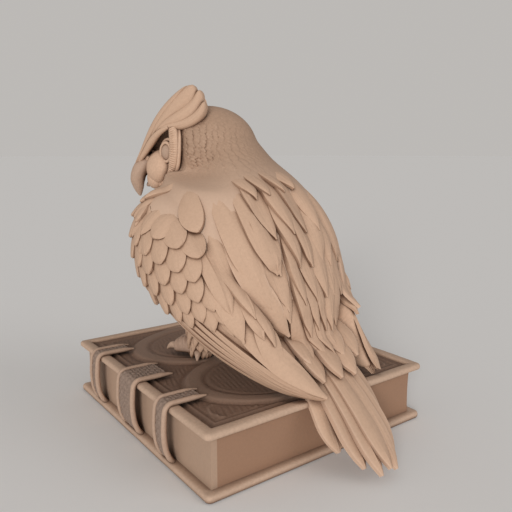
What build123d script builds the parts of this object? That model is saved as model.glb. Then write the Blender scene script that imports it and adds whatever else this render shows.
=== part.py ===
from build123d import *
import math
import os

# Owl perched on a closed book, cast in resin as a kit of parts. Millimetres.
# +Z is up, the origin is the centre of the resting face, the book's spine is on +X,
# the tail hangs over the +Y edge. "Forward" is the way the owl's body faces.

# ---- driving dimensions: the book
BOOK_X = 115.0
BOOK_Y = 125.0
COVER_TOP = 26.3
UPPER_COVER_THICK = 2.7
LOWER_COVER_TOP = 3.1
FELT_THICK = 0.8
FELT_SHOWS = 0.2
OVERHANG = 3.75
SPINE_THICK = 2.6
RIM_WIDTH = 5.0
PANEL_FLOOR = 24.3
PANEL_TOP = 25.2
CARTOUCHE_TOP = 26.0
EDGE_ROUND = 1.0

# ---- driving dimensions: the three straps over the spine (centre y, width)
STRAPS = {"near": (30.3, 9.3), "middle": (-1.3, 16.3), "far": (-36.9, 8.8)}
STRAP_THICK = 1.3
STRAP_START_X = 42.0
STRAP_BULGE = 0.9
STRAP_TUCK = 3.2
CORD_RADIUS = 1.1

# ---- driving dimensions: the owl
BODY_TURN = 12.0
HEAD_TURN = 57.0
STAND = (3.75, -10.0, COVER_TOP)
HEAD_HALVES = (23.5, 21.9, 20.4)
EYE_RADIUS = 4.6
PIN_RADIUS = 1.5
PIN_GAP = 0.05
SIDES = {1: "left", -1: "right"}


def heading(degrees):
    """Unit vectors forward and to the owl's left for a turn from -Y towards +X."""
    a = math.radians(degrees)
    return Vector(math.sin(a), -math.cos(a), 0), Vector(math.cos(a), math.sin(a), 0)


def at(forward, side, height):
    """A point in the body's own directions, measured from between the feet."""
    fwd, left = heading(BODY_TURN)
    return Vector(*STAND) + fwd * forward + left * side + Vector(0, 0, height)


HEAD_CENTRE = at(10.0, 0, 96.0)


def on_head(ahead, side, height):
    """A point in the head's own directions, measured from the head's centre."""
    fwd, left = heading(HEAD_TURN)
    return HEAD_CENTRE + fwd * ahead + left * side + Vector(0, 0, height)


def ellipse_loft(points, halves, across):
    """Smooth solid through ellipses set square to the path; the first half size lies along across."""
    faces = []
    last = len(points) - 1
    for i, p in enumerate(points):
        tangent = (points[min(i + 1, last)] - points[max(i - 1, 0)]).normalized()
        side = (across - tangent * across.dot(tangent)).normalized()
        plane = Plane(origin=p, x_dir=side, z_dir=tangent)
        faces.append(plane * Ellipse(halves[i][0], halves[i][1]))
    return loft(faces)


def body_loft(stations, side=1):
    """Loft along stations given as forward, side, height, half width, half depth."""
    points = [at(f, side * s, z) for f, s, z, _, _ in stations]
    return ellipse_loft(points, [(a, b) for _, _, _, a, b in stations], heading(BODY_TURN)[1])


def blade(root, tip, width, thick, sag, across):
    """One long flat feather, widest two thirds of the way down, with a blunt point."""
    widths = (0.55, 0.85, 1.0, 0.8, 0.16)
    points = []
    for t in (0, 0.3, 0.62, 0.86, 1.0):
        points.append(root + (tip - root) * t + Vector(0, 0, sag * 4 * t * (1 - t)))
    return ellipse_loft(points, [(width / 2 * w, thick / 2) for w in widths], across)


def rounded_board(x0, x1, y0, y1, z0, z1, corner, edge):
    board = Pos((x0 + x1) / 2, (y0 + y1) / 2, (z0 + z1) / 2) * Box(x1 - x0, y1 - y0, z1 - z0)
    board = fillet(board.edges().filter_by(Axis.Z), corner)
    if edge:
        board = fillet(board.faces().sort_by(Axis.Z)[-1].edges(), edge)
        board = fillet(board.faces().sort_by(Axis.Z)[0].edges(), edge)
    return board


def pin(start, end, radius=PIN_RADIUS):
    middle = (start + end) * 0.5
    plane = Plane(origin=middle, z_dir=(end - start).normalized())
    return plane * Cylinder(radius, (end - start).length)


# ---------------------------------------------------------------- the book
def make_lower_cover():
    cover = rounded_board(-BOOK_X / 2, BOOK_X / 2, -BOOK_Y / 2, BOOK_Y / 2, FELT_SHOWS, LOWER_COVER_TOP, 1.2, EDGE_ROUND)
    pocket = Pos(0, 0, FELT_THICK / 2) * Box(BOOK_X - 14, BOOK_Y - 14, FELT_THICK)
    return cover - pocket


def make_felt():
    return Pos(0, 0, FELT_THICK / 2) * Box(BOOK_X - 14.4, BOOK_Y - 14.4, FELT_THICK)


def make_upper_cover():
    bottom = COVER_TOP - UPPER_COVER_THICK
    cover = rounded_board(-BOOK_X / 2, BOOK_X / 2, -BOOK_Y / 2, BOOK_Y / 2, bottom, COVER_TOP, 1.2, EDGE_ROUND)
    recess = Pos(0, 0, PANEL_FLOOR + 2) * Box(BOOK_X - 2 * RIM_WIDTH, BOOK_Y - 2 * RIM_WIDTH, 4)
    return cover - recess


def make_cover_panel():
    plate_x = BOOK_X - 2 * RIM_WIDTH
    plate_y = BOOK_Y - 2 * RIM_WIDTH
    panel = Pos(0, 0, (PANEL_FLOOR + PANEL_TOP) / 2) * Box(plate_x, plate_y, PANEL_TOP - PANEL_FLOOR)
    lobe = Ellipse(38.5, 26.5)
    outline = Pos(0, -26.0) * lobe + Pos(0, 26.0) * lobe
    raised = Pos(0, 0, PANEL_TOP - 0.2) * extrude(outline, CARTOUCHE_TOP - PANEL_TOP + 0.2)
    return panel + raised


def make_page_block():
    x0 = -BOOK_X / 2 + OVERHANG
    x1 = BOOK_X / 2 - OVERHANG - SPINE_THICK
    y = BOOK_Y / 2 - OVERHANG
    z0 = LOWER_COVER_TOP
    z1 = COVER_TOP - UPPER_COVER_THICK
    block = Pos((x0 + x1) / 2, 0, (z0 + z1) / 2) * Box(x1 - x0, 2 * y, z1 - z0)
    hollow = Pos(x0 - 96.5, 0, (z0 + z1) / 2) * Cylinder(98, 3 * y, rotation=(90, 0, 0))
    return block - hollow


def make_spine_board():
    x1 = BOOK_X / 2 - OVERHANG
    z0 = LOWER_COVER_TOP
    z1 = COVER_TOP - UPPER_COVER_THICK
    return Pos(x1 - SPINE_THICK / 2, 0, (z0 + z1) / 2) * Box(SPINE_THICK, BOOK_Y - 2 * OVERHANG, z1 - z0)


def strap_band(y, width, grow):
    """A flat band that starts on the cover, turns over the rim and bows in to the lower cover."""
    edge = BOOK_X / 2 + 0.05
    top = COVER_TOP + 0.05
    foot = LOWER_COVER_TOP + 0.02
    out = STRAP_THICK + grow
    bow = edge + STRAP_BULGE
    inner_arc = ThreePointArc((edge, top - 3.2), (bow, 14.5), (edge - STRAP_TUCK, foot))
    outer_arc = ThreePointArc((edge - STRAP_TUCK + out, foot), (bow + out, 14.5), (edge + out, top - 1.2))
    outline = [
        Line((STRAP_START_X, top), (edge, top)),
        Line((edge, top), (edge, top - 3.2)),
        inner_arc,
        Line((edge - STRAP_TUCK, foot), (edge - STRAP_TUCK + out, foot)),
        outer_arc,
        ThreePointArc((edge + out, top - 1.2), (edge + out - 1, top + out - 1), (edge - 1.6, top + out)),
        Line((edge - 1.6, top + out), (STRAP_START_X, top + out)),
        Line((STRAP_START_X, top + out), (STRAP_START_X, top)),
    ]
    face = Plane.XZ * make_face(outline)
    return Pos(0, y + width / 2, 0) * extrude(face, width)


def make_strap(y, width):
    """The band between its two cords, with a rounded cord along each edge."""
    cord = 2 * CORD_RADIUS
    band = strap_band(y, width - 2 * cord, 0)
    cords = []
    for sign in (-1, 1):
        edge_cord = strap_band(y + sign * (width / 2 - cord / 2), cord, 0.7)
        cords.append(edge_cord)
    return band, cords


# ---------------------------------------------------------------- the owl's body
TORSO = [
    (-57.5, 0, 12.5, 3.8, 3.8),
    (-52.5, 0, 17.5, 13.8, 8.8),
    (-46.0, 0, 27.5, 26.0, 14.0),
    (-36.0, 0, 41.0, 35.0, 21.0),
    (-21.0, 0, 57.5, 40.0, 27.0),
    (-8.0, 0, 71.0, 37.5, 26.0),
    (0.5, 0, 83.0, 31.0, 22.5),
    (5.0, 0, 93.0, 24.5, 19.5),
    (9.0, 0, 100.0, 17.0, 12.5),
]
WING = [
    (11.0, 26.0, 79.0, 1.4, 2.5),
    (9.0, 30.0, 74.0, 6.0, 9.0),
    (1.0, 36.0, 64.0, 10.0, 16.0),
    (-12.5, 39.0, 50.0, 11.0, 17.5),
    (-29.0, 37.0, 34.5, 10.0, 16.0),
    (-47.5, 30.5, 18.0, 7.0, 12.6),
    (-61.0, 24.4, 7.6, 4.4, 7.2),
    (-71.5, 19.6, 2.4, 1.2, 1.4),
]
RIGHT_WING_TUCK = (0, 0, 0.8, 1.8, 3.6, 4.4, 2.6, 0)
WING_SPLIT = (-40.0, 33.0, 24.0)
FLIGHT_FEATHERS = 5
FLIGHT_SPACING = 5.0
TAIL_FEATHERS = 7
# by place out from the middle feather: how far back the tip reaches, its height and the arch
TAIL_REACH = (90.4, 89.8, 84.8, 75.0)
TAIL_DROP = (4.6, 3.4, 5.8, 9.0)
TAIL_ARCH = (5.6, 4.8, 6.6, 8.6)
BACK_ROWS = ((0.52, 3), (0.37, 4), (0.22, 3))


def station_between(table, t):
    """Values of a station table at a fraction of the way along it."""
    place = t * (len(table) - 1)
    i = min(int(place), len(table) - 2)
    w = place - i
    return [a + (b - a) * w for a, b in zip(table[i], table[i + 1])]


def torso_skin(t, around, lift):
    """A point above the torso's skin; around is the angle off the middle of the back."""
    f, s, z, half_wide, half_deep = station_between(TORSO, t)
    ahead = station_between(TORSO, min(t + 0.04, 1))
    behind = station_between(TORSO, max(t - 0.04, 0))
    fwd, left = heading(BODY_TURN)
    tangent = (fwd * (ahead[0] - behind[0]) + Vector(0, 0, ahead[2] - behind[2])).normalized()
    backward = tangent.cross(left)
    a = math.radians(around)
    return at(f, s, z) + left * ((half_wide + lift) * math.sin(a)) + backward * ((half_deep + lift) * math.cos(a))


def whole_wing(side):
    """One folded wing; the right one is held closer to the body."""
    tuck = RIGHT_WING_TUCK if side < 0 else (0,) * len(WING)
    stations = [(f, s - t, z, a - 0.45 * t, b) for (f, s, z, a, b), t in zip(WING, tuck)]
    return body_loft(stations, side)


def wing_frame(side):
    """Where the wing divides: a point, the way to the wing tip and the way across the feathers."""
    start = at(WING_SPLIT[0], side * WING_SPLIT[1], WING_SPLIT[2])
    tip = at(WING[-1][0], side * WING[-1][1], WING[-1][2])
    along = (tip - start).normalized()
    fwd, left = heading(BODY_TURN)
    return start, along, along.cross(left).normalized()


def make_wing(side, whole):
    start, along, across = wing_frame(side)
    beyond = Plane(origin=start + along * 50, z_dir=along) * Box(140, 140, 100)
    return whole - beyond


def make_flight_feathers(side, whole):
    """The wing beyond its coverts, divided lengthways into overlapping primaries."""
    start, along, across = wing_frame(side)
    feathers = []
    half = FLIGHT_FEATHERS // 2
    for k in range(-half, half + 1):
        low = -60.0 if k == -half else (k - 0.5) * FLIGHT_SPACING
        high = 60.0 if k == half else (k + 0.5) * FLIGHT_SPACING
        middle = start + across * ((low + high) / 2) + along * 50.02
        slab = Plane(origin=middle, x_dir=across, z_dir=along) * Box(high - low - 0.04, 160, 100)
        feathers.append(biggest(whole & slab))
    return feathers


def make_tail():
    """Seven tail feathers fanned in two layers, arched over the edge of the cover."""
    feathers = []
    half = TAIL_FEATHERS // 2
    for k in range(-half, half + 1):
        upper = k % 2 == 0
        n = abs(k)
        root = Vector(-5.0 + 3.2 * k, 38.0, 43.0 if upper else 40.6)
        tip = Vector(-5.0 + 4.0 * k, TAIL_REACH[n], TAIL_DROP[n])
        feathers.append(blade(root, tip, 6.6, 1.8, TAIL_ARCH[n], Vector(1, 0, 0)))
    uppers = feathers[1::2]
    for i in range(0, TAIL_FEATHERS, 2):
        feathers[i] = biggest(cut(feathers[i], uppers))
    return feathers


def make_back_feathers():
    """Rows of broad pointed feathers lying over the back, half sunk into the torso."""
    left = heading(BODY_TURN)[1]
    widths = (0.55, 0.9, 1.0, 0.75, 0.16)
    feathers = []
    for t0, count in BACK_ROWS:
        for k in range(count):
            around = (k - (count - 1) / 2) * 25.0
            points = []
            for j in range(5):
                t = t0 - 0.034 * j
                points.append(torso_skin(t, around * (1 + 0.02 * j), -0.6 + 0.45 * j))
            a = math.radians(around)
            out = (points[1] - torso_skin(t0, around, -4)).normalized()
            across = (points[4] - points[0]).cross(out)
            feathers.append(ellipse_loft(points, [(5.6 * w, 1.1) for w in widths], across))
    return feathers


# ---------------------------------------------------------------- the head
def make_head():
    fwd, left = heading(HEAD_TURN)
    ball = scale(Sphere(1), by=HEAD_HALVES)
    centre = on_head(-1.2, 0, 0)
    return Plane(origin=centre, x_dir=fwd * -1, z_dir=(0, 0, 1)) * ball


def eye_axis(side):
    fwd, left = heading(HEAD_TURN)
    return (fwd * 0.80 + left * (0.60 * side)).normalized()


def disc_plane(side, out):
    """Plane of a facial disc, a distance out from its middle along the way it faces."""
    axis = eye_axis(side)
    middle = on_head(15.8, 12.8 * side, -3.0) + axis * out
    return Plane(origin=middle, x_dir=axis.cross(Vector(0, 0, 1)) * -side, z_dir=axis)


def eye_centre(side):
    return on_head(15.2, 10.8 * side, -1.2)


def make_disc_blank(side):
    return disc_plane(side, 0) * scale(Sphere(1), by=(10.6, 13.6, 5.2))


def make_facial_disc(side, blank):
    """Oval dish set into the face round the eye, its rim standing proud."""
    scoop = disc_plane(side, 4.6) * scale(Sphere(1), by=(9.4, 12.2, 5.4))
    return blank - scoop


def make_eye(side):
    return Pos(*eye_centre(side)) * Sphere(EYE_RADIUS)


def make_upper_beak():
    points = [on_head(20, 0, -4.5), on_head(26, 0, -7.0), on_head(30.5, 0, -12.0), on_head(31.2, 0, -20.0)]
    return ellipse_loft(points, [(3.6, 4.2), (4.0, 4.4), (3.2, 3.6), (0.6, 0.7)], heading(HEAD_TURN)[1])


def make_lower_beak():
    points = [on_head(19, 0, -12.0), on_head(24, 0, -13.6), on_head(28.0, 0, -16.4)]
    return ellipse_loft(points, [(3.0, 2.2), (2.4, 1.8), (0.9, 0.8)], heading(HEAD_TURN)[1])


def make_ear_tuft(side):
    """Brow and ear tuft in one sweep from the root of the beak, up and back past the crown."""
    path = [(27.5, 2.6, -4.5), (22.5, 6.5, 4.0), (16.0, 10.5, 12.5), (8.5, 14.8, 20.5), (3.0, 16.4, 27.4)]
    points = [on_head(a, side * s, z) for a, s, z in path]
    return ellipse_loft(points, [(1.3, 1.6), (2.5, 4.2), (2.8, 5.8), (2.6, 5.6), (0.9, 1.4)], heading(HEAD_TURN)[1])


# ---------------------------------------------------------------- legs and feet
FOOT_FORWARD = 2.9
FOOT_SIDE = 15.0
TOE_TURNS = (-32, -6, 20, 130)
TOE_LENGTHS = (12, 14, 12.5, 5)


def make_leg(side):
    points = [
        at(-12, side * 15, 36),
        at(-6, side * FOOT_SIDE, 22),
        at(-1, side * FOOT_SIDE, 10),
        at(0.5, side * FOOT_SIDE, 4.5),
    ]
    return ellipse_loft(points, [(11, 13), (9.5, 10.5), (5.5, 6), (4, 4.4)], heading(BODY_TURN)[1])


def toe_line(side, turn, length):
    fwd, left = heading(BODY_TURN + side * turn)
    start = at(0.5, side * FOOT_SIDE, 3.0)
    return start, fwd, left, length


def make_toe(side, turn, length):
    start, fwd, left, length = toe_line(side, turn, length)
    points = [start, start + fwd * (0.5 * length), start + fwd * length]
    points[1] = points[1] + Vector(0, 0, 1.6)
    return ellipse_loft(points, [(3.6, 3.2), (4.2, 4.0), (3.2, 2.9)], left)


def make_talon(side, turn, length):
    start, fwd, left, length = toe_line(side, turn, length)
    root = start + fwd * (length - 0.8)
    points = [root, root + fwd * 3.2 + Vector(0, 0, 0.2), root + fwd * 6.0 + Vector(0, 0, -2.2)]
    return ellipse_loft(points, [(1.9, 1.9), (1.6, 1.6), (0.35, 0.35)], left)


def make_foot(side):
    ankle = Pos(*at(0.5, side * FOOT_SIDE, 3.7)) * Sphere(4.6)
    foot = ankle
    for turn, length in zip(TOE_TURNS, TOE_LENGTHS):
        foot = foot + make_toe(side, turn, length)
    under = Pos(0, 0, CARTOUCHE_TOP - 20) * Box(200, 200, 40)
    return foot - under


# ---------------------------------------------------------------- assembly
def solids_of(shape):
    if isinstance(shape, (list, tuple)):
        found = []
        for s in shape:
            found += solids_of(s)
        return found
    return list(shape.solids())


def biggest(shape):
    return max(shape.solids(), key=lambda s: s.volume)


def cut(shape, *tools):
    for tool in tools:
        for t in solids_of(tool):
            shape = shape - t
    return shape


def build_book(nodes, leg_holes):
    nodes["base_felt"] = make_felt()
    nodes["lower_cover"] = make_lower_cover()
    nodes["upper_cover"] = cut(make_upper_cover(), leg_holes)
    nodes["cover_panel"] = cut(make_cover_panel(), leg_holes)
    nodes["page_block"] = make_page_block()
    nodes["spine_board"] = make_spine_board()
    for name, (y, width) in STRAPS.items():
        band, cords = make_strap(y, width)
        nodes[name + "_strap"] = band
        nodes[name + "_strap_cords"] = cords


def build_head(nodes, neck_hole):
    blanks = {side: make_disc_blank(side) for side in SIDES}
    eyes = {side: make_eye(side) for side in SIDES}
    head = biggest(cut(make_head(), blanks[1], blanks[-1], eyes[1], eyes[-1], neck_hole))
    nodes["head"] = head
    beak = biggest(cut(make_upper_beak(), head, blanks[1], blanks[-1]))
    nodes["upper_beak"] = beak
    nodes["lower_beak"] = biggest(cut(make_lower_beak(), head, beak, blanks[1], blanks[-1]))
    right_disc = biggest(cut(make_facial_disc(-1, blanks[-1]), eyes[-1]))
    middle = Plane(origin=HEAD_CENTRE, z_dir=heading(HEAD_TURN)[1])
    nodes["right_facial_disc"] = right_disc
    nodes["left_facial_disc"] = biggest(mirror(right_disc, about=middle))
    for side, word in SIDES.items():
        nodes[word + "_eye"] = eyes[side]
        tuft = biggest(cut(make_ear_tuft(side), head, blanks[side], beak, eyes[side]))
        nodes[word + "_ear_tuft"] = tuft


def build_body(nodes, neck_hole, wing_holes):
    back = make_back_feathers()
    tail = make_tail()
    wings = {side: whole_wing(side) for side in SIDES}
    discs = [nodes["left_facial_disc"], nodes["right_facial_disc"]]
    eyes = [nodes["left_eye"], nodes["right_eye"]]
    torso = cut(body_loft(TORSO), nodes["head"], nodes["lower_beak"], discs, eyes, wings[1], wings[-1])
    torso = biggest(cut(torso, neck_hole, wing_holes, back, tail))
    nodes["torso"] = torso
    nodes["back_feathers"] = [biggest(cut(b, nodes["head"], wings[1], wings[-1])) for b in back]
    others = [wings[1], wings[-1], back, nodes["upper_cover"]]
    nodes["tail_feathers"] = [biggest(cut(t, others)) for t in tail]
    for side, word in SIDES.items():
        nodes[word + "_wing"] = biggest(cut(make_wing(side, wings[side]), wing_holes))
        nodes[word + "_flight_feathers"] = make_flight_feathers(side, wings[side])
    return wings


def build_legs(nodes, wings, leg_holes):
    for side, word in SIDES.items():
        leg = biggest(cut(make_leg(side), nodes["torso"], wings[side], leg_holes))
        foot = biggest(cut(make_foot(side), leg, leg_holes))
        nodes[word + "_leg"] = leg
        nodes[word + "_foot"] = foot
        talons = []
        for turn, length in zip(TOE_TURNS, TOE_LENGTHS):
            talons.append(biggest(cut(make_talon(side, turn, length), foot)))
        nodes[word + "_talons"] = talons


def build():
    nodes = {}
    low = HEAD_CENTRE + Vector(0, 0, -30)
    high = HEAD_CENTRE + Vector(0, 0, -6)
    gap = Vector(0, 0, 0.1)
    nodes["neck_pin"] = pin(low, high, 2.5)
    neck_hole = pin(low - gap, high + gap, 2.5 + PIN_GAP)
    wing_holes = []
    leg_holes = []
    nodes["wing_pins"] = []
    nodes["leg_pins"] = []
    for side in SIDES:
        inner = at(-14, side * 24, 53)
        outer = at(-14, side * 41, 50)
        reach = (outer - inner) * 0.01
        nodes["wing_pins"].append(pin(inner, outer))
        wing_holes.append(pin(inner - reach, outer + reach, PIN_RADIUS + PIN_GAP))
        foot = at(0.5, side * FOOT_SIDE, -1.2)
        shin = at(-1.5, side * FOOT_SIDE, 14.0)
        reach = (shin - foot) * 0.01
        nodes["leg_pins"].append(pin(foot, shin))
        leg_holes.append(pin(foot - reach, shin + reach, PIN_RADIUS + PIN_GAP))
    build_book(nodes, leg_holes)
    build_head(nodes, neck_hole)
    wings = build_body(nodes, neck_hole, wing_holes)
    build_legs(nodes, wings, leg_holes)
    return nodes


if __name__ == "__main__":
    os.makedirs("parts", exist_ok=True)
    for node, shape in build().items():
        solids = solids_of(shape)
        part = solids[0] if len(solids) == 1 else Compound(children=solids)
        export_step(part, f"parts/{node}.step")
        print(node, len(solids), round(sum(s.volume for s in solids), 1), all(s.is_valid for s in solids))
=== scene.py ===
import math

import bmesh
import bpy
import numpy as np
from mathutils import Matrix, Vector
from mathutils.bvhtree import BVHTree


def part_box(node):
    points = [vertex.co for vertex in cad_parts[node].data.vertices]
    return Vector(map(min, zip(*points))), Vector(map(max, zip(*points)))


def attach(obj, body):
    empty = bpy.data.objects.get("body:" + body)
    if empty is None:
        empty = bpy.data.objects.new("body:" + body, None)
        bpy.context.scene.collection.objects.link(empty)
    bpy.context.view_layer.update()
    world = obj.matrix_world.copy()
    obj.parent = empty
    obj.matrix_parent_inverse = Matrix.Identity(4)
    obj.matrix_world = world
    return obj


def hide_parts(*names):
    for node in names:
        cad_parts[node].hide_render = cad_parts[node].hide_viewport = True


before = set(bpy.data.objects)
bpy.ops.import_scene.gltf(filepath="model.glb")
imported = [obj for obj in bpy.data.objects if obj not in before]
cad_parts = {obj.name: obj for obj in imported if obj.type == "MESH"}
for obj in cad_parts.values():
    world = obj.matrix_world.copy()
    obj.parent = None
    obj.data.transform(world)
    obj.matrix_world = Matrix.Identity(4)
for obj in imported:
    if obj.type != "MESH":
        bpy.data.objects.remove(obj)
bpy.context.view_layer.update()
rng = np.random.default_rng(11)

# Working lengths below are millimetres in the row frame; meshes are scaled to metres when they are made.
MM = 0.001
UP = np.array([0.0, 0.0, 1.0])


def box_mm(node):
    low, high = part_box(node)
    return np.array(low) / MM, np.array(high) / MM


def centre_mm(node):
    low, high = box_mm(node)
    return (low + high) / 2


def unit(v):
    v = np.asarray(v, float)
    return v / np.maximum(np.linalg.norm(v, axis=-1, keepdims=True), 1e-12)


def heading(degrees):
    a = math.radians(degrees)
    return np.array([math.sin(a), -math.cos(a), 0.0]), np.array([math.cos(a), math.sin(a), 0.0])


BODY_TURN = 12.0
HEAD_TURN = 57.0
COVER_TOP = box_mm("upper_cover")[1][2]
STAND = np.array([3.75, -10.0, COVER_TOP])
BODY_FWD, BODY_LEFT = heading(BODY_TURN)
HEAD_FWD, HEAD_LEFT = heading(HEAD_TURN)
HEAD_CENTRE = STAND + BODY_FWD * 10.0 + UP * 96.0


def at(f, s, z):
    return STAND + BODY_FWD * f + BODY_LEFT * s + UP * z


def on_head(a, s, z):
    return HEAD_CENTRE + HEAD_FWD * a + HEAD_LEFT * s + UP * z


# ------------------------------------------------------------------ materials
def resin(name, base, shade_colour, light, speckle=0.5, bump=0.25, grain=(1, 1, 1), grain_bump=0.0, rough=0.72, edge_highlight=0.55,
          height_tint=None):
    """Matt cast resin with painted shade in the hollows, painted highlights on sharp edges, speckle and fine surface
    tooth.
    """
    m = bpy.data.materials.new(name)
    m.use_nodes = True
    nt = m.node_tree
    n, l = nt.nodes, nt.links
    bsdf = n["Principled BSDF"]
    bsdf.inputs["Roughness"].default_value = rough
    bsdf.inputs["Specular IOR Level"].default_value = 0.28

    def node(kind, **settings):
        x = n.new(kind)
        for k, v in settings.items():
            setattr(x, k, v)
        return x

    coord = node("ShaderNodeTexCoord")
    blotch = node("ShaderNodeTexNoise")
    blotch.inputs["Scale"].default_value = 55
    blotch.inputs["Detail"].default_value = 5
    fine = node("ShaderNodeTexNoise")
    fine.inputs["Scale"].default_value = 900
    fine.inputs["Detail"].default_value = 4
    l.new(coord.outputs["Object"], blotch.inputs["Vector"])
    l.new(coord.outputs["Object"], fine.inputs["Vector"])

    tone = node("ShaderNodeMix", data_type="RGBA")
    tone.inputs["A"].default_value = (*[c * 0.95 for c in base], 1)
    tone.inputs["B"].default_value = (*[min(1, c * 1.05) for c in base], 1)
    l.new(blotch.outputs["Fac"], tone.inputs["Factor"])

    speck = node("ShaderNodeMapRange")
    speck.inputs["From Min"].default_value = 0.35
    speck.inputs["From Max"].default_value = 0.65
    speck.inputs["To Min"].default_value = 1 - 0.08 * speckle
    speck.inputs["To Max"].default_value = 1 + 0.05 * speckle
    l.new(fine.outputs["Fac"], speck.inputs["Value"])
    mottled = node("ShaderNodeMix", data_type="RGBA", blend_type="MULTIPLY")
    mottled.inputs["Factor"].default_value = 1
    l.new(tone.outputs["Result"], mottled.inputs["A"])
    l.new(speck.outputs["Result"], mottled.inputs["B"])

    # Painted shade: ambient occlusion darkens the colour towards the shade colour in hollows, creases and the gaps
    # between feathers.
    hollow = node("ShaderNodeAmbientOcclusion", samples=8)
    hollow.inputs["Distance"].default_value = 0.0036
    shade_amount = node("ShaderNodeMapRange")
    shade_amount.inputs["From Min"].default_value = 0.32
    shade_amount.inputs["From Max"].default_value = 0.92
    l.new(hollow.outputs["AO"], shade_amount.inputs["Value"])
    shaded = node("ShaderNodeMix", data_type="RGBA")
    shaded.inputs["A"].default_value = (*shade_colour, 1)
    l.new(shade_amount.outputs["Result"], shaded.inputs["Factor"])
    l.new(mottled.outputs["Result"], shaded.inputs["B"])

    # Painted highlight: sharp convex edges, found by pointiness, are paled towards the light colour by up to the given
    # share.
    geometry = node("ShaderNodeNewGeometry")
    edge = node("ShaderNodeMapRange")
    edge.inputs["From Min"].default_value = 0.52
    edge.inputs["From Max"].default_value = 0.62
    edge.inputs["To Max"].default_value = edge_highlight
    l.new(geometry.outputs["Pointiness"], edge.inputs["Value"])
    edge_lit = node("ShaderNodeMix", data_type="RGBA")
    edge_lit.inputs["B"].default_value = (*light, 1)
    l.new(edge.outputs["Result"], edge_lit.inputs["Factor"])
    l.new(shaded.outputs["Result"], edge_lit.inputs["A"])
    coloured = edge_lit
    # Paler colour over a band of heights: none at the first height, the given share of the light colour at the second.
    if height_tint:
        height = node("ShaderNodeSeparateXYZ")
        l.new(coord.outputs["Object"], height.inputs["Vector"])
        high = node("ShaderNodeMapRange")
        high.inputs["From Min"].default_value = height_tint[0]
        high.inputs["From Max"].default_value = height_tint[1]
        high.inputs["To Max"].default_value = height_tint[2]
        l.new(height.outputs["Z"], high.inputs["Value"])
        coloured = node("ShaderNodeMix", data_type="RGBA")
        coloured.inputs["B"].default_value = (*light, 1)
        l.new(high.outputs["Result"], coloured.inputs["Factor"])
        l.new(edge_lit.outputs["Result"], coloured.inputs["A"])
    l.new(coloured.outputs["Result"], bsdf.inputs["Base Color"])

    tooth = node("ShaderNodeBump")
    tooth.inputs["Strength"].default_value = bump
    tooth.inputs["Distance"].default_value = 0.00025
    l.new(fine.outputs["Fac"], tooth.inputs["Height"])
    last = tooth
    if grain_bump:
        uv = node("ShaderNodeUVMap", uv_map="along")
        stretch = node("ShaderNodeMapping")
        stretch.inputs["Scale"].default_value = grain
        strands = node("ShaderNodeTexNoise")
        strands.inputs["Scale"].default_value = 1
        strands.inputs["Detail"].default_value = 3
        l.new(uv.outputs["UV"], stretch.inputs["Vector"])
        l.new(stretch.outputs["Vector"], strands.inputs["Vector"])
        barbs = node("ShaderNodeBump")
        barbs.inputs["Strength"].default_value = grain_bump
        barbs.inputs["Distance"].default_value = 0.0006
        l.new(strands.outputs["Fac"], barbs.inputs["Height"])
        l.new(tooth.outputs["Normal"], barbs.inputs["Normal"])
        last = barbs
    l.new(last.outputs["Normal"], bsdf.inputs["Normal"])
    return m


OWL = (0.568, 0.380, 0.266)
# Painted shade colour for the hollows.
SHADE_BROWN = (0.135, 0.062, 0.034)
# Painted highlight colour for sharp edges.
PALE = (0.70, 0.50, 0.375)
# In each resin below, the second colour is the painted shade for the hollows and the third is the painted highlight for
# sharp edges.
plumage = resin("plumage", OWL, SHADE_BROWN, PALE, speckle=0.45, grain=(9, 0.8, 1), grain_bump=0.45)
# Bare skin of the form: a paler copy of the owl's resin, painted light that offsets the shade it gets between the
# feathers.
lit_skin_mat = resin("owl_skin_lit", (0.615, 0.413, 0.291), SHADE_BROWN, PALE, speckle=0.8)
# Painted shade on the head: a darker copy of the owl's skin, darkest over the crown and paler towards the neck through
# the height band.
head_shade_mat = resin("head_skin_shaded", (0.415, 0.272, 0.188), (0.11, 0.052, 0.03), PALE, speckle=0.8, edge_highlight=0.12,
                 height_tint=(0.120, 0.099, 0.62))
foot_mat = resin("foot_skin", (0.40, 0.27, 0.20), SHADE_BROWN, (0.52, 0.37, 0.28), speckle=0.8)
horn = resin("horn", (0.47, 0.325, 0.24), SHADE_BROWN, (0.62, 0.45, 0.34), speckle=0.8, rough=0.6)
rim_mat = resin("cover_rim", (0.54, 0.378, 0.276), (0.15, 0.08, 0.05), (0.66, 0.50, 0.39), speckle=0.9)
cord_mat = resin("strap_cord", (0.46, 0.315, 0.23), (0.12, 0.065, 0.042), (0.60, 0.44, 0.34), speckle=0.9)
panel_mat = resin("cover_panel", (0.205, 0.125, 0.087), (0.055, 0.032, 0.022), (0.345, 0.235, 0.175), speckle=1.3, bump=0.4,
                  height_tint=(0.0252, 0.0263, 0.75))
strap_mat = resin("strap_band", (0.30, 0.215, 0.17), (0.08, 0.05, 0.035), (0.45, 0.34, 0.27), speckle=1.3, bump=0.5)
# Page edges: darker and more orange than the covers, painted shade on the page block between the covers.
shaded_page_mat = resin("page_block", (0.255, 0.138, 0.084), (0.11, 0.052, 0.03), (0.38, 0.23, 0.15), speckle=0.9)
spine_mat = resin("spine_board", (0.36, 0.235, 0.165), (0.11, 0.06, 0.035), (0.47, 0.33, 0.24), speckle=0.9)
felt_mat = resin("felt", (0.035, 0.032, 0.03), (0.01, 0.01, 0.01), (0.06, 0.055, 0.05), speckle=1.5, bump=1.0, rough=0.95)


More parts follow.
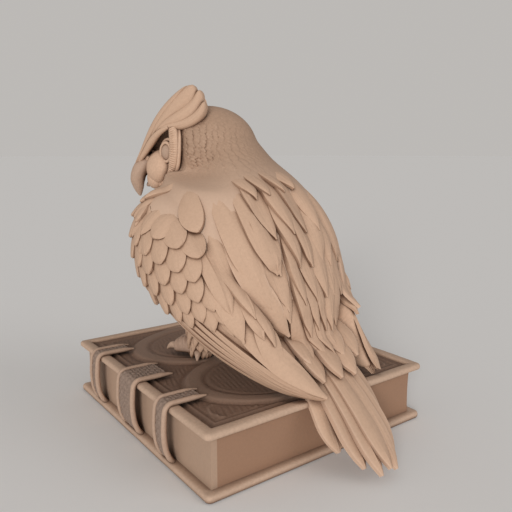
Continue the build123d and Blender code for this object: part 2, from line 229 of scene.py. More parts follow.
def steel():
    m = bpy.data.materials.new("pin_steel")
    m.use_nodes = True
    n, l = m.node_tree.nodes, m.node_tree.links
    bsdf = n["Principled BSDF"]
    bsdf.inputs["Metallic"].default_value = 1
    bsdf.inputs["Base Color"].default_value = (0.6, 0.6, 0.62, 1)
    noise = n.new("ShaderNodeTexNoise")
    noise.inputs["Scale"].default_value = 700
    spread = n.new("ShaderNodeMapRange")
    spread.inputs["To Min"].default_value = 0.25
    spread.inputs["To Max"].default_value = 0.45
    l.new(noise.outputs["Fac"], spread.inputs["Value"])
    l.new(spread.outputs["Result"], bsdf.inputs["Roughness"])
    return m


steel_mat = steel()


# ------------------------------------------------------------------ mesh helpers
def new_piece(name, verts, faces, material, slot, replaces=(), uv=None, smooth=35.0):
    """A shown piece from millimetre vertices; uv is one (u, v) per vertex."""
    mesh = bpy.data.meshes.new(name)
    mesh.from_pydata((np.asarray(verts, float) * MM).tolist(), [], [tuple(int(i) for i in f) for f in faces])
    mesh.update()
    if uv is not None:
        layer = mesh.uv_layers.new(name="along")
        index = np.zeros(len(mesh.loops), np.int32)
        mesh.loops.foreach_get("vertex_index", index)
        layer.data.foreach_set("uv", np.asarray(uv, np.float32)[index].ravel())
    obj = bpy.data.objects.new(name, mesh)
    bpy.context.scene.collection.objects.link(obj)
    mesh.polygons.foreach_set("use_smooth", [True] * len(mesh.polygons))
    if smooth:
        mesh.set_sharp_from_angle(angle=math.radians(smooth))
    mesh.materials.append(material)
    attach(obj, "root")
    if replaces:
        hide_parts(*replaces)
    return obj


class Gather:
    """Collects many closed shells into one piece."""

    def __init__(self):
        self.verts, self.faces, self.uvs, self.count = [], [], [], 0

    def add(self, verts, faces, uv=None):
        self.verts.append(verts)
        self.faces += [tuple(i + self.count for i in f) for f in faces]
        self.uvs.append(np.zeros((len(verts), 2)) if uv is None else uv)
        self.count += len(verts)

    def piece(self, name, material, slot, replaces=(), smooth=35.0):
        return new_piece(name, np.vstack(self.verts), self.faces, material, slot, replaces, np.vstack(self.uvs), smooth)


def object_arrays(mesh):
    co = np.zeros(len(mesh.vertices) * 3)
    mesh.vertices.foreach_get("co", co)
    return co.reshape(-1, 3)


def lathe_grid(rows, cols):
    """Faces of a closed grid of rows by cols points per row, rows joined end to end round."""
    faces = []
    for i in range(rows - 1):
        for j in range(cols):
            k = (j + 1) % cols
            faces.append((i * cols + j, i * cols + k, (i + 1) * cols + k, (i + 1) * cols + j))
    return faces


def ellipsoid(centre, axes, halves, rings=24, around=36):
    verts = [centre + axes[2] * halves[2]]
    for i in range(1, rings):
        a = math.pi * i / rings
        for j in range(around):
            b = 2 * math.pi * j / around
            verts.append(
                centre
                + axes[0] * (halves[0] * math.sin(a) * math.cos(b))
                + axes[1] * (halves[1] * math.sin(a) * math.sin(b))
                + axes[2] * (halves[2] * math.cos(a))
            )
    verts.append(centre - axes[2] * halves[2])
    faces = [(0, 1 + j, 1 + (j + 1) % around) for j in range(around)]
    faces += [tuple(i + 1 for i in f) for f in lathe_grid(rings - 1, around)]
    last = len(verts) - 1
    base = 1 + (rings - 2) * around
    faces += [(last, base + (j + 1) % around, base + j) for j in range(around)]
    return np.array(verts), faces


def remesh_union(name, arrays, voxel, passes):
    """One smooth closed shell round overlapping shells, given as (verts in mm, faces)."""
    gathered = Gather()
    for verts, faces in arrays:
        gathered.add(np.asarray(verts), faces)
    mesh = bpy.data.meshes.new(name)
    mesh.from_pydata((np.vstack(gathered.verts) * MM).tolist(), [], gathered.faces)
    obj = bpy.data.objects.new(name, mesh)
    bpy.context.scene.collection.objects.link(obj)
    mod = obj.modifiers.new("remesh", "REMESH")
    mod.mode = "VOXEL"
    mod.voxel_size = voxel * MM
    deps = bpy.context.evaluated_depsgraph_get()
    out = bpy.data.meshes.new_from_object(obj.evaluated_get(deps))
    bpy.data.objects.remove(obj)
    bm = bmesh.new()
    bm.from_mesh(out)
    keep_largest(bm)
    bm.to_mesh(out)
    bm.free()
    co = object_arrays(out) / MM
    faces = [tuple(p.vertices) for p in out.polygons]
    bpy.data.meshes.remove(out)
    return smooth_verts(co, faces, passes), faces


def keep_largest(bm):
    bm.verts.ensure_lookup_table()
    seen = [False] * len(bm.verts)
    groups = []
    for v in bm.verts:
        if seen[v.index]:
            continue
        stack, group = [v], []
        seen[v.index] = True
        while stack:
            x = stack.pop()
            group.append(x)
            for e in x.link_edges:
                y = e.other_vert(x)
                if not seen[y.index]:
                    seen[y.index] = True
                    stack.append(y)
        groups.append(group)
    groups.sort(key=len)
    for group in groups[:-1]:
        bmesh.ops.delete(bm, geom=group, context="VERTS")


def face_edges(faces):
    pairs = []
    for f in faces:
        for i in range(len(f)):
            pairs.append((f[i], f[(i + 1) % len(f)]))
    return np.array(pairs)


def smooth_verts(co, faces, passes, weight=None):
    """Plain averaging with neighbours, then a little of the shrinkage given back."""
    if not passes:
        return co
    e = face_edges(faces)
    count = np.bincount(e[:, 0], minlength=len(co)).astype(float)[:, None]
    count = np.maximum(count, 1)
    for i in range(passes):
        total = np.zeros_like(co)
        for axis in range(3):
            total[:, axis] = np.bincount(e[:, 0], co[e[:, 1], axis], minlength=len(co))
        step = (total / count - co) * (0.6 if i % 2 == 0 else -0.35 if passes > 12 and i % 4 == 1 else 0.5)
        co = co + (step if weight is None else step * weight)
    return co


def vertex_normals(co, faces):
    f = np.array([t[:3] for t in faces])
    n = np.cross(co[f[:, 1]] - co[f[:, 0]], co[f[:, 2]] - co[f[:, 0]])
    out = np.zeros_like(co)
    for k in range(len(faces[0])):
        idx = np.array([t[min(k, len(t) - 1)] for t in faces])
        for axis in range(3):
            out[:, axis] += np.bincount(idx, n[:, axis], minlength=len(co))
    return unit(out)


def wobble(p, scale, seed=0):
    """Smooth noise from a few sine waves, about -1 to 1."""
    p = np.asarray(p) / scale
    out = 0
    r = np.random.default_rng(1000 + seed)
    for k in range(5):
        d = unit(r.normal(size=3)) * (1 + 0.5 * k)
        out = out + np.sin(p @ d + r.uniform(0, 6.28)) / (1 + 0.5 * k)
    return out / 2.6


# ------------------------------------------------------------------ the owl's smooth form
def cad_arrays(node):
    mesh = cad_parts[node].data
    return object_arrays(mesh) / MM, [tuple(p.vertices) for p in mesh.polygons]


def blend(first, second, t):
    return tuple(a + (b - a) * t for a, b in zip(first, second))


def clear_of_face(part):
    """Draws shoulders and neck in under the face, so that the facial discs stand clear of them."""
    co, faces = part
    local = co - HEAD_CENTRE
    ahead, side, z = local @ HEAD_FWD, local @ HEAD_LEFT, local @ UP
    limit = 16.0 + 4.5 * np.maximum(0, -10.5 - z)
    share = np.clip((ahead + 16.0) / 26.0, 0, 1)
    share = share * share * (3 - 2 * share)
    pull = np.maximum(0, np.abs(side) - limit) * share * np.sign(side)
    return co - pull[:, None] * HEAD_LEFT, faces


def make_body_form():
    """Head, neck, torso, rump and wings melted into one smooth skin for the feathers to lie on."""
    head_axes = (HEAD_FWD, HEAD_LEFT, UP)
    body_axes = (BODY_FWD, BODY_LEFT, UP)
    parts = [
        ellipsoid(on_head(-1.2, 0, 0), head_axes, (23.5, 21.9, 20.4)),
        ellipsoid(on_head(20.0, 0, -2.0), head_axes, (11.0, 6.0, 13.0)),
        ellipsoid(on_head(17.0, 0, -13.0), head_axes, (8.0, 10.0, 6.0)),
    ]
    crown = on_head(-3.0, 0, -1.0)
    shoulders = at(-5.0, 0, 76.0)
    for t in np.linspace(0, 1, 9):
        centre = crown + (shoulders - crown) * t
        parts.append(clear_of_face(ellipsoid(centre, body_axes, blend((20.5, 20.5, 18.6), (25.0, 31.0, 22.0), t))))
    tail_way = unit([0, 0.79, -0.61])
    rump_axes = (np.array([1.0, 0, 0]), np.cross(tail_way, [1.0, 0, 0]), tail_way)
    parts.append(ellipsoid(np.array([-5.0, 43.5, 39.6]), rump_axes, (16.0, 7.0, 18.0)))
    for node in ("torso", "left_wing", "right_wing", "left_flight_feathers", "right_flight_feathers"):
        parts.append(clear_of_face(cad_arrays(node)))
    return remesh_union("form", parts, 0.8, 30)


form_co, form_faces = make_body_form()
form_bvh = BVHTree.FromPolygons(form_co.tolist(), form_faces)


class Path:
    """A curve through points, measured by its length in mm."""

    def __init__(self, points):
        self.p = np.array(points, float)
        steps = np.linalg.norm(np.diff(self.p, axis=0), axis=1)
        self.s = np.concatenate([[0], np.cumsum(steps)])
        self.length = self.s[-1]

    def point(self, s):
        return np.array([np.interp(s, self.s, self.p[:, k]) for k in range(3)])

    def tangent(self, s):
        return unit(self.point(min(s + 6, self.length)) - self.point(max(s - 6, 0)))


# axis of the body from the nape down to the root of the tail
BODY_AXIS = Path([at(*p) for p in [(12, 0, 112), (9, 0, 100), (7, 0, 92), (1.5, 0, 82), (-8, 0, 71), (-21, 0, 57.5),
                                   (-36, 0, 41), (-46, 0, 27.5), (-52.5, 0, 17.5), (-60, 0, 6)]])


def wing_axis(side):
    """Middle line of a folded wing; the right one is held closer in."""
    table = [(13, 27, 84), (9, 30, 74), (1, 36, 64), (-12.5, 39, 50), (-29, 37, 34.5), (-47.5, 30.5, 18), (-61, 24.4, 7.6),
             (-71.5, 19.6, 2.4)]
    tuck = (0, 0, 0.8, 1.8, 3.6, 4.4, 2.6, 0) if side < 0 else (0,) * 8
    return Path([at(f, side * (s - t), z) for (f, s, z), t in zip(table, tuck)])


WING_AXIS = {1: wing_axis(1), -1: wing_axis(-1)}


def outer_hit(origin, direction, reach=90.0):
    """The outermost point of the owl's form on the ray from inside, or None."""
    start = origin + direction * reach
    hit = form_bvh.ray_cast(Vector(start), Vector(-direction), reach + 5)
    return None if hit[0] is None else (np.array(hit[0]), np.array(hit[1]))


def body_point(s, around):
    """Point on the form; around is degrees from the middle of the back towards the owl's left."""
    tangent = BODY_AXIS.tangent(s)
    backward = unit(np.cross(BODY_LEFT, tangent))
    if backward @ BODY_FWD > 0:
        backward = -backward
    a = math.radians(around)
    return outer_hit(BODY_AXIS.point(s), BODY_LEFT * math.sin(a) + backward * math.cos(a))


def wing_point(side, s, around):
    """Point on a wing; around is degrees from straight out to the side towards the front."""
    axis = WING_AXIS[side]
    tangent = axis.tangent(s)
    out = unit(BODY_LEFT * side - tangent * (BODY_LEFT * side @ tangent))
    front = unit(np.cross(tangent, out))
    if front @ (BODY_FWD - UP) < 0:
        front = -front
    a = math.radians(around)
    return outer_hit(axis.point(s), out * math.cos(a) + front * math.sin(a), 40.0)


# ------------------------------------------------------------------ feathers
COLS = 11
ACROSS = np.linspace(-1, 1, COLS)


def outline(v, point, root=0.35, shoulder=0.42):
    """Half width of a feather along its length, from 0 to 1; point 0.5 is round and 1 or more is sharp."""
    grow = root + (1 - root) * np.sin(np.clip(v / shoulder, 0, 1) * math.pi / 2)
    x = np.clip((v - shoulder) / (1 - shoulder), 0, 1)
    return grow * np.maximum((1 - x ** 2.0), 0) ** point


def feather_shell(centre, normal, lateral, half_width, lift, thick, dome, shaft, tilt, groove, seed):
    """Closed shell of one feather. centre, normal and lateral are rows of vectors along its length,
    half_width and lift are values along it; tilt raises one edge and groove cuts fine lengthwise lines."""
    rows = len(centre)
    v = np.linspace(0, 1, rows)
    r = np.random.default_rng(seed)
    wave = r.uniform(0, 6.28, 3)
    bulge = 1 - np.abs(ACROSS) ** 2.4
    quill = np.exp(-((ACROSS / 0.11) ** 2))
    span = np.linalg.norm(np.diff(centre, axis=0), axis=1).sum()
    tops, lows, uv = [], [], []
    for i in range(rows):
        fade = min(1.0, half_width[i] / max(half_width.max() * 0.45, 1e-6))
        lines = np.sin(ACROSS * 9.0 + wave[0] + 0.8 * math.sin(v[i] * 4 + wave[1]))
        lines = lines + 0.6 * np.sin(ACROSS * 15.0 + wave[2] - 1.2 * v[i])
        h = lift[i] + dome * bulge * fade + shaft * quill * fade * (1 - 0.5 * v[i])
        h = h + tilt * ACROSS * half_width[i] + groove * fade * lines * bulge
        base = centre[i] + lateral[i] * (ACROSS * half_width[i])[:, None]
        tops.append(base + normal[i] * h[:, None])
        low = np.minimum(lift[i] - thick, h - thick * 0.9)
        lows.append(base + normal[i] * low[:, None])
        uv.append(np.stack([ACROSS * half_width[i] / 10, np.full(COLS, v[i] * span / 10)], 1))
    uvs = np.vstack(uv) + r.uniform(0, 50, 2)
    faces = []
    n = rows * COLS
    for i in range(rows - 1):
        for j in range(COLS - 1):
            a = i * COLS + j
            faces.append((a, a + 1, a + COLS + 1, a + COLS))
            faces.append((n + a, n + a + COLS, n + a + COLS + 1, n + a + 1))
    for i in range(rows - 1):
        a = i * COLS
        b = a + COLS - 1
        faces.append((a, a + COLS, n + a + COLS, n + a))
        faces.append((b, n + b, n + b + COLS, b + COLS))
    for j in range(COLS - 1):
        e = (rows - 1) * COLS + j
        faces.append((j, n + j, n + j + 1, j + 1))
        faces.append((e, e + 1, n + e + 1, n + e))
    return np.vstack(tops + lows), faces, np.vstack([uvs, uvs])


def on_skin(p):
    hit = form_bvh.find_nearest(Vector(p))
    return np.array(hit[0]), np.array(hit[1])


def walk(start, aim, places, backwards=False):
    """Steps over the skin from a point along a flow; returns points, normals and sideways directions."""
    p, n = on_skin(start)
    sign = -1.0 if backwards else 1.0
    points, normals, sides = [], [], []
    for i, place in enumerate(places):
        if i:
            step = place - places[i - 1]
            d = unit(aim(p) - n * (aim(p) @ n)) * sign
            q, m = on_skin(p + d * step)
            if np.linalg.norm(q - (p + d * step)) > 0.7 * step + 0.6:
                q, m = p + d * step, n
            p, n = q, unit(0.6 * n + 0.4 * m)
        d = unit(aim(p) - n * (aim(p) @ n))
        points.append(p)
        normals.append(n)
        sides.append(unit(np.cross(n, d)))
    if backwards:
        points, normals, sides = points[::-1], normals[::-1], sides[::-1]
    return np.array(points), np.array(normals), np.array(sides)


def skin_feather(place, aim, length, width, point=0.95, lift=(-0.8, 1.6), thick=0.9, dome=0.5, shaft=0.15, tilt=0.0,
                 hug=0.85, rows=16, groove=0.04, seed=0, shoulder=0.42, root_width=0.35, from_tip=True):
    """A feather lying on the owl's form with its tip (or its root) at a place, along a flow over the skin."""
    v = 1 - (1 - np.linspace(0, 1, rows)) ** 1.2
    steps = (1 - v[::-1]) * length if from_tip else v * length
    centres, normals, sides = walk(place, aim, steps, from_tip)
    for _ in range(2):
        centres[1:-1] = 0.25 * centres[:-2] + 0.5 * centres[1:-1] + 0.25 * centres[2:]
    half = width / 2 * outline(v, point, root_width, shoulder)
    half[-1] = max(half[-1], 0.035 * width)
    lifts = lift[0] + (lift[1] - lift[0]) * v ** 0.75
    verts, faces, uv = feather_shell(centres, normals, sides, half, lifts, thick, dome, shaft, tilt, groove, seed)
    if hug:
        press(verts, centres, normals, sides, half, hug)
    return verts, faces, uv


def press(verts, centres, normals, sides, half, hug):
    """Moves a feather's columns down on to the skin under them."""
    rows = len(centres)
    count = rows * COLS
    for i in range(rows):
        if half[i] < 1.0:
            continue
        for j in range(COLS):
            flat = centres[i] + sides[i] * (ACROSS[j] * half[i])
            q, m = on_skin(flat)
            move = max(-2.8, min(2.8, (q - flat) @ normals[i])) * hug
            verts[i * COLS + j] += normals[i] * move
            verts[count + i * COLS + j] += normals[i] * move


def path_feather(points, width, lift=(0.2, 0.8), thick=1.0, dome=0.5, shaft=0.1, tilt=0.0, groove=0.03, seed=0, point=0.9,
                 shoulder=0.6, root_width=0.5, rows=26, hug=0.9):
    """A feather that follows its own row of points over the skin."""
    path = Path(points)
    v = np.linspace(0, 1, rows)
    centres, normals = [], []
    for t in v:
        place = path.point(t * path.length)
        q, m = on_skin(place)
        centres.append(place)
        normals.append(m)
    centres, normals = np.array(centres), np.array(normals)
    for _ in range(5):
        centres[1:-1] = 0.25 * centres[:-2] + 0.5 * centres[1:-1] + 0.25 * centres[2:]
        normals[1:-1] = unit(0.25 * normals[:-2] + 0.5 * normals[1:-1] + 0.25 * normals[2:])
    sides = unit(np.cross(normals, unit(np.gradient(centres, axis=0))))
    half = width / 2 * outline(v, point, root_width, shoulder)
    half[-1] = max(half[-1], 0.05 * width)
    lifts = lift[0] + (lift[1] - lift[0]) * v
    verts, faces, uv = feather_shell(centres, normals, sides, half, lifts, thick, dome, shaft, tilt, groove, seed)
    press(verts, centres, normals, sides, half, hug)
    return verts, faces, uv


def free_feather(points, across, width, point=0.8, thick=1.0, dome=0.6, shaft=0.3, tilt=0.0, groove=0.04, seed=0,
                 shoulder=0.55, root_width=0.6, rows=24, face=UP):
    """A feather along its own path in space, its upper side turned to face."""
    path = Path(points)
    v = np.linspace(0, 1, rows)
    centres = np.array([path.point(t * path.length) for t in v])
    for _ in range(4):
        centres[1:-1] = 0.25 * centres[:-2] + 0.5 * centres[1:-1] + 0.25 * centres[2:]
    d = unit(np.gradient(centres, axis=0))
    lateral = unit(across - d * (d @ across)[:, None])
    normal = unit(np.cross(d, lateral))
    if normal[rows // 2] @ face < 0:
        normal = -normal
    half = width / 2 * outline(v, point, root_width, shoulder)
    half[-1] = max(half[-1], 0.05 * width)
    return feather_shell(centres, normal, lateral, half, np.zeros(rows), thick, dome, shaft, tilt, groove, seed)


def tail_flow(p):
    """The way feathers lie on the body: down towards the tail, a little steeper at the sides."""
    s = np.clip((p - BODY_AXIS.p[0]) @ unit(BODY_AXIS.p[-1] - BODY_AXIS.p[0]), 0, BODY_AXIS.length)
    return unit(BODY_AXIS.tangent(s) - UP * 0.18)


def scale_flow(p):
    """The way the small feathers of shoulder and breast lie: steeply down in front, raked back behind."""
    ahead = np.clip(((p - STAND) @ BODY_FWD - 2.0) / 22.0, 0, 1)
    return unit(tail_flow(p) * (1.0 - 0.75 * ahead) - UP * (0.25 + 0.75 * ahead))


def fan_flow(side):
    """Forward and down across the top of a shoulder."""
    way = unit(BODY_FWD * 0.30 + BODY_LEFT * (0.30 * side) - UP * 0.90)
    return lambda p: way


def tract(gather, table, aim, seed, jitter=0.6, **common):
    """Rows of overlapping feathers on the body, upper rows last so that they lie over lower ones.
    Each row is (place of the tips along the body, angles, length, width, lift at the tip)."""
    r = np.random.default_rng(seed)
    k = seed * 1000
    for s, angles, length, width, raised in table:
        for a in angles:
            k += 1
            hit = body_point(s + r.uniform(-1, 1) * jitter * 1.6, a + r.uniform(-1, 1) * jitter)
            if hit is None:
                continue
            size = 1 + r.uniform(-0.07, 0.07)
            extra = dict(common)
            if "tilt_by" in extra:
                extra["tilt"] = extra.pop("tilt_by") * (-1 if a > -4 else 1)
            extra.setdefault("lift", (-0.9 if s > 64 else -2.4, raised + r.uniform(-0.25, 0.25)))
            gather.add(*skin_feather(hit[0], aim, length * size, width * size, seed=k, **extra))


# tips of the feathers that cover the root of the tail
TAIL_COVERTS = [(3.8, 62.5, 31.8), (-4.6, 63.8, 32.2), (-13.0, 62.8, 31.4), (10.6, 47.6, 41.4), (2.4, 45.2, 43.0), (-8.0, 45.0, 43.2), (-17.6, 47.0, 41.6), (13.2, 55.4, 36.8),
                (5.6, 57.0, 37.0), (-3.4, 55.4, 38.0), (-12.6, 56.4, 37.4), (-20.4, 56.6, 36.0)]


def make_back():
    """Mantle: rows of pointed feathers down the back and over the root of the tail."""
    mantle = Gather()
    rows = [
        (128.5, [82, 66, 40, 13, -13, -38, -64], 30, 9.6, 2.3),
        (116.5, [76, 53, 27, 1, -25, -50, -74], 34, 10.0, 2.5),
        (109, [87, 67], 28, 10.0, 2.4),
        (104.5, [62, 40, 17, -7, -31, -56], 34, 10.2, 2.6),
        (101.5, [72], 28, 10.0, 2.8),
        (92.5, [51, 30, 9, -12, -34], 34, 10.2, 2.7),
        (81.5, [39, 21, 2, -18], 30, 10.0, 2.7),
        (63, [37, 24, 7, -9], 17, 8.4, 2.4),
    ]
    tract(mantle, rows, tail_flow, 1, tilt_by=0.19, point=1.0, shoulder=0.38, root_width=0.5, shaft=0.12, dome=0.6, thick=1.3, groove=0.06)
    tail_way = unit([0, 0.79, -0.61])
    over = unit([0, 0.61, 0.79])
    for k, (x, back, drop) in enumerate(TAIL_COVERTS):
        tip = np.array([x, back, drop]) + over * 1.2
        pts = [tip - tail_way * 24 - over * 2.2, tip - tail_way * 12 + over * 0.2, tip - tail_way * 5 + over * 0.4, tip]
        turn = 0.12 if x > -5 else -0.12
        mantle.add(*free_feather(curve(pts, 20), np.array([1.0, 0, 0]), 8.8, point=0.95, thick=1.4, dome=0.7, shaft=0.12,
                                 tilt=turn, seed=150 + k, shoulder=0.55, root_width=0.5, rows=18, groove=0.06, face=over))
    # long feathers bridging the crease between the back and the folded wing
    for side in (1, -1):
        for k, (s, a, extra) in enumerate([(108, 74, 6), (103, 72.5, 1.5)]):
            way = [body_point(s - d, (a - turn) * side) for d, turn in ((30, 5), (15, 2.5), (5, 1), (0, 0))]
            if any(hit is None for hit in way):
                continue
            pts = [hit[0] + hit[1] * raised for hit, raised in zip(way, (-0.6, 2.0, 2.8, 2.6))]
            pts.append(pts[3] + unit(pts[3] - pts[2]) * extra)
            out = unit(way[0][1] + way[1][1] + way[3][1])
            across = np.cross(unit(pts[3] - pts[0]), out)
            mantle.add(*free_feather(curve(pts, 20), across, 10.5, point=0.95, thick=1.6, dome=0.7, shaft=0.12,
                                     tilt=0.12 * side, seed=170 + k, shoulder=0.5, root_width=0.5, rows=20, groove=0.06,
                                     face=out))
    mantle.piece("back_feathers.mantle", plumage, "owl_resin", ("back_feathers",))

    scapulars = Gather()
    # tip along the body, angle, length, width; longer and smoother than the mantle, from the neck down over the wing
    table = [(112, 79, 30, 9.0), (99.5, 85, 42, 9.0), (104, 78.5, 48, 10.5), (97, 70.5, 54, 13.5), (91.5, 53, 46, 13.0)]
    for side in (1, -1):
        for k, (s, a, length, width) in enumerate(table):
            hit = body_point(s, a * side)
            if hit is not None:
                scapulars.add(*skin_feather(hit[0], tail_flow, length, width, point=0.95, tilt=-0.11 * side, rows=30,
                                            lift=(-2.4, 1.8 + 0.24 * k), thick=1.9, dome=0.8, groove=0.14, seed=300 + k,
                                            shoulder=0.62, root_width=0.3))
    scapulars.piece("back_feathers.scapulars", plumage, "owl_resin")


def make_wing_coverts(side, word):
    """Rounded overlapping scale feathers on the shoulder, smaller and more pointed down the wing."""
    scales = Gather()
    rows = [
        (105.5, [90], 13, 7.2, 1.5), (100.5, [97, 89.5], 13, 7.8, 1.6), (95, [106, 98, 90], 13, 8.0, 1.7), (89, [109, 101.5, 94], 14, 8.6, 1.9),
        (82, [113.5, 105.5, 97.5, 89.5], 15, 9.2, 2.1), (74.5, [119, 110.5, 101.5, 92.5, 84], 16, 10.2, 2.3),
        (67, [124, 115.5, 106.5, 97, 88], 16, 10.4, 2.4), (59.5, [120, 111, 101.5], 15, 10.2, 2.3),
        (52, [117, 107], 13, 8.8, 2.1), (45, [113, 103], 12, 8.2, 2.0),
    ]
    r = np.random.default_rng(20 + side)
    k = 0
    for s, angles, length, width, raised in rows:
        for a in angles:
            k += 1
            hit = body_point(s + r.uniform(-0.7, 0.7), (a + r.uniform(-0.6, 0.6)) * side)
            if hit is None:
                continue
            sharp = 0.52 + 0.35 * np.clip((s - 80) / 25, 0, 1)
            scales.add(*skin_feather(hit[0], scale_flow, length, width, point=sharp, lift=(-1.3, raised), thick=1.3,
                                     dome=0.8, shaft=0.1, groove=0.07, shoulder=0.5, root_width=0.6, rows=13,
                                     seed=2000 + 100 * side + k))
    # the tongue-shaped and fan-shaped feathers at the top of the shoulder
    hit = body_point(65.0, 79 * side)
    scales.add(*skin_feather(hit[0], scale_flow, 26, 10.4, point=0.6, lift=(-2.4, 2.9), thick=1.8, dome=0.8,
                             shoulder=0.66, root_width=0.3, rows=20, seed=2400))
    hit = body_point(57.0, 95 * side)
    scales.add(*skin_feather(hit[0], fan_flow(side), 16, 10.5, point=0.5, lift=(-2.4, 2.2), thick=1.8, dome=0.8,
                             shoulder=0.6, root_width=0.35, rows=18, seed=2401))
    # small pointed feathers of the collar, running forward under the chin
    for k, (s, a, length, width) in enumerate([(37, 98, 16, 6.4), (41, 106, 15, 6.2), (47, 109, 14, 6.4),
                                                (51, 101, 14, 8.0), (56, 107, 14, 8.0)]):
        hit = body_point(s, a * side)
        scales.add(*skin_feather(hit[0], fan_flow(side), length, width, point=0.85, lift=(-1.6, 2.0), thick=1.4, dome=0.7,
                                 shoulder=0.5, root_width=0.3, rows=16, seed=2410 + k))
    scales.piece(f"{word}_wing.coverts", plumage, "owl_resin")


def make_primaries(side, word):
    """Long layered flight feathers along the lower edge of the wing, meeting in a double tip."""
    blades = Gather()
    axis = WING_AXIS[side]
    # where each blade's middle line starts, its angle there and near the tip, width, lift; the lowest one first
    table = [(50, 66, 57, 3.8, 0.3), (54, 48, 39, 3.8, 0.9), (58, 31, 22, 3.9, 1.5), (62, 14, 4, 4.0, 2.1),
             (66, -4, -14, 4.2, 2.7), (70, -56, -62, 9.6, 3.5)]
    low_tip = axis.p[-1] + np.array([-1.2 * side, 1.6, -1.9])
    hang = 1.3 if side > 0 else 0.4
    high_tip = axis.p[-1] + np.array([0.4 * side, 1.4, 0.6])
    for k, (start, a0, a1, width, raised) in enumerate(table):
        points = []
        end = axis.length - 16
        for t in np.linspace(0, 1, 14):
            hit = wing_point(side, start + (end - start) * t, a0 + (a1 - a0) * t)
            if hit is not None:
                points.append(hit[0] + hit[1] * (hang * t if k < 5 else 0))
        points.append(low_tip + (high_tip - low_tip) * k / 5)
        blades.add(*path_feather(points, width, lift=(-1.5 if k > 4 else -0.2, raised), thick=1.9, dome=0.45, hug=0.8,
                                 tilt=(0.24 if k < 5 else -0.24) * side, seed=400 + k, point=0.7, shoulder=0.6, root_width=0.55, groove=0.05))
    blades.piece(f"{word}_flight_feathers.blades", plumage, "owl_resin", (f"{word}_flight_feathers",))


def make_breast():
    """Scale feathers over the breast and belly."""
    breast = Gather()
    rows = [(44.5, [104 + 11.7 * j for j in range(14)], 12, 7.6, 1.9), (37, [101 + 11.3 * j for j in range(15)], 11, 6.6, 1.9)]
    s, i = 106.0, 0
    while s > 50:
        t = (s - 50) / 56
        step = 12.5 + 4 * t
        angles = [180 + step * (j - 4.5 + 0.5 * (i % 2)) for j in range(10)]
        rows.append((s, [a if a <= 180 else a - 360 for a in angles if abs(a - 180) < 60 - 8 * t], 14 - 2 * t, 9.8 - 1.8 * t, 1.9))
        s -= 7.4
        i += 1
    tract(breast, rows, scale_flow, 5, point=0.55, dome=0.7, shoulder=0.5, root_width=0.6, rows=12)
    breast.piece("torso.breast_feathers", plumage, "owl_resin")


TAIL_REACH = (90.4, 89.8, 84.8, 75.0)
TAIL_DROP = (4.6, 3.4, 5.8, 9.0)
TAIL_ARCH = (5.6, 5.9, 6.1, 9.0)


def make_tail():
    """Seven tail feathers, the middle one on top, arched over the edge of the cover."""
    tail = Gather()
    for k in (-3, 3, -2, 2, -1, 1, 0):
        n = abs(k)
        width = (8.6, 8.8, 9.8, 11.0)[n]
        root = np.array([-5.0 + 3.2 * k, 38.0, (43.0, 41.8, 40.6, 37.5)[n]])
        tip = np.array([-5.0 + 4.0 * k, TAIL_REACH[n], TAIL_DROP[n] + (1.4, 0.8, 0.2, 0.2)[n]])
        pts = [root + (tip - root) * t + UP * (TAIL_ARCH[n] * 4 * t * (1 - t)) for t in np.linspace(0, 1, 14)]
        tail.add(*free_feather(pts, np.array([1.0, 0, 0]), width, point=0.8, thick=1.5, dome=0.7, shaft=0.4, seed=500 + k,
                               shoulder=0.74, rows=36, groove=0.06, tilt=(0.13 if n < 3 else -0.10) * (1 if k >= 0 else -1)))
    tail.piece("tail_feathers.fan", plumage, "owl_resin", ("tail_feathers",))


# ------------------------------------------------------------------ body pieces
def split_form():
    """Cuts the one smooth form into closed head, torso and wings along flat joints."""
    mesh = bpy.data.meshes.new("form")
    mesh.from_pydata(form_co.tolist(), [], form_faces)
    whole = bmesh.new()
    whole.from_mesh(mesh)

    def half(bm, point, normal):
        """The part on the side the normal points to, closed with a flat face."""
        part = bm.copy()
        geom = part.verts[:] + part.edges[:] + part.faces[:]
        cut = bmesh.ops.bisect_plane(part, geom=geom, plane_co=point.tolist(), plane_no=normal.tolist(), clear_inner=True)
        rim = [e for e in cut["geom_cut"] if isinstance(e, bmesh.types.BMEdge)]
        bmesh.ops.holes_fill(part, edges=rim, sides=0)
        bmesh.ops.triangulate(part, faces=[f for f in part.faces if len(f.verts) > 4])
        return part

    def arrays(bm):
        bm.verts.index_update()
        return np.array([v.co for v in bm.verts]), [tuple(v.index for v in f.verts) for f in bm.faces]

    neck = on_head(0, 0, -21.0) - BODY_FWD * 8
    neck_way = unit(UP - BODY_FWD * 0.75)
    head = half(whole, neck, neck_way)
    rest = half(whole, neck, -neck_way)
    left = half(rest, at(0, 29.0, 0), BODY_LEFT)
    right = half(rest, at(0, -29.0, 0), -BODY_LEFT)
    middle = half(half(rest, at(0, 29.0, 0), -BODY_LEFT), at(0, -29.0, 0), BODY_LEFT)
    bpy.data.meshes.remove(mesh)
    return arrays(head), arrays(middle), arrays(left), arrays(right)


def refine(co, faces):
    """One level of smooth subdivision."""
    mesh = bpy.data.meshes.new("refine")
    mesh.from_pydata(co.tolist(), [], faces)
    obj = bpy.data.objects.new("refine", mesh)
    bpy.context.scene.collection.objects.link(obj)
    mod = obj.modifiers.new("sub", "SUBSURF")
    mod.levels = mod.render_levels = 1
    deps = bpy.context.evaluated_depsgraph_get()
    out = bpy.data.meshes.new_from_object(obj.evaluated_get(deps))
    new_co = object_arrays(out)
    new_faces = [tuple(p.vertices) for p in out.polygons]
    bpy.data.objects.remove(obj)
    bpy.data.meshes.remove(out)
    return new_co, new_faces


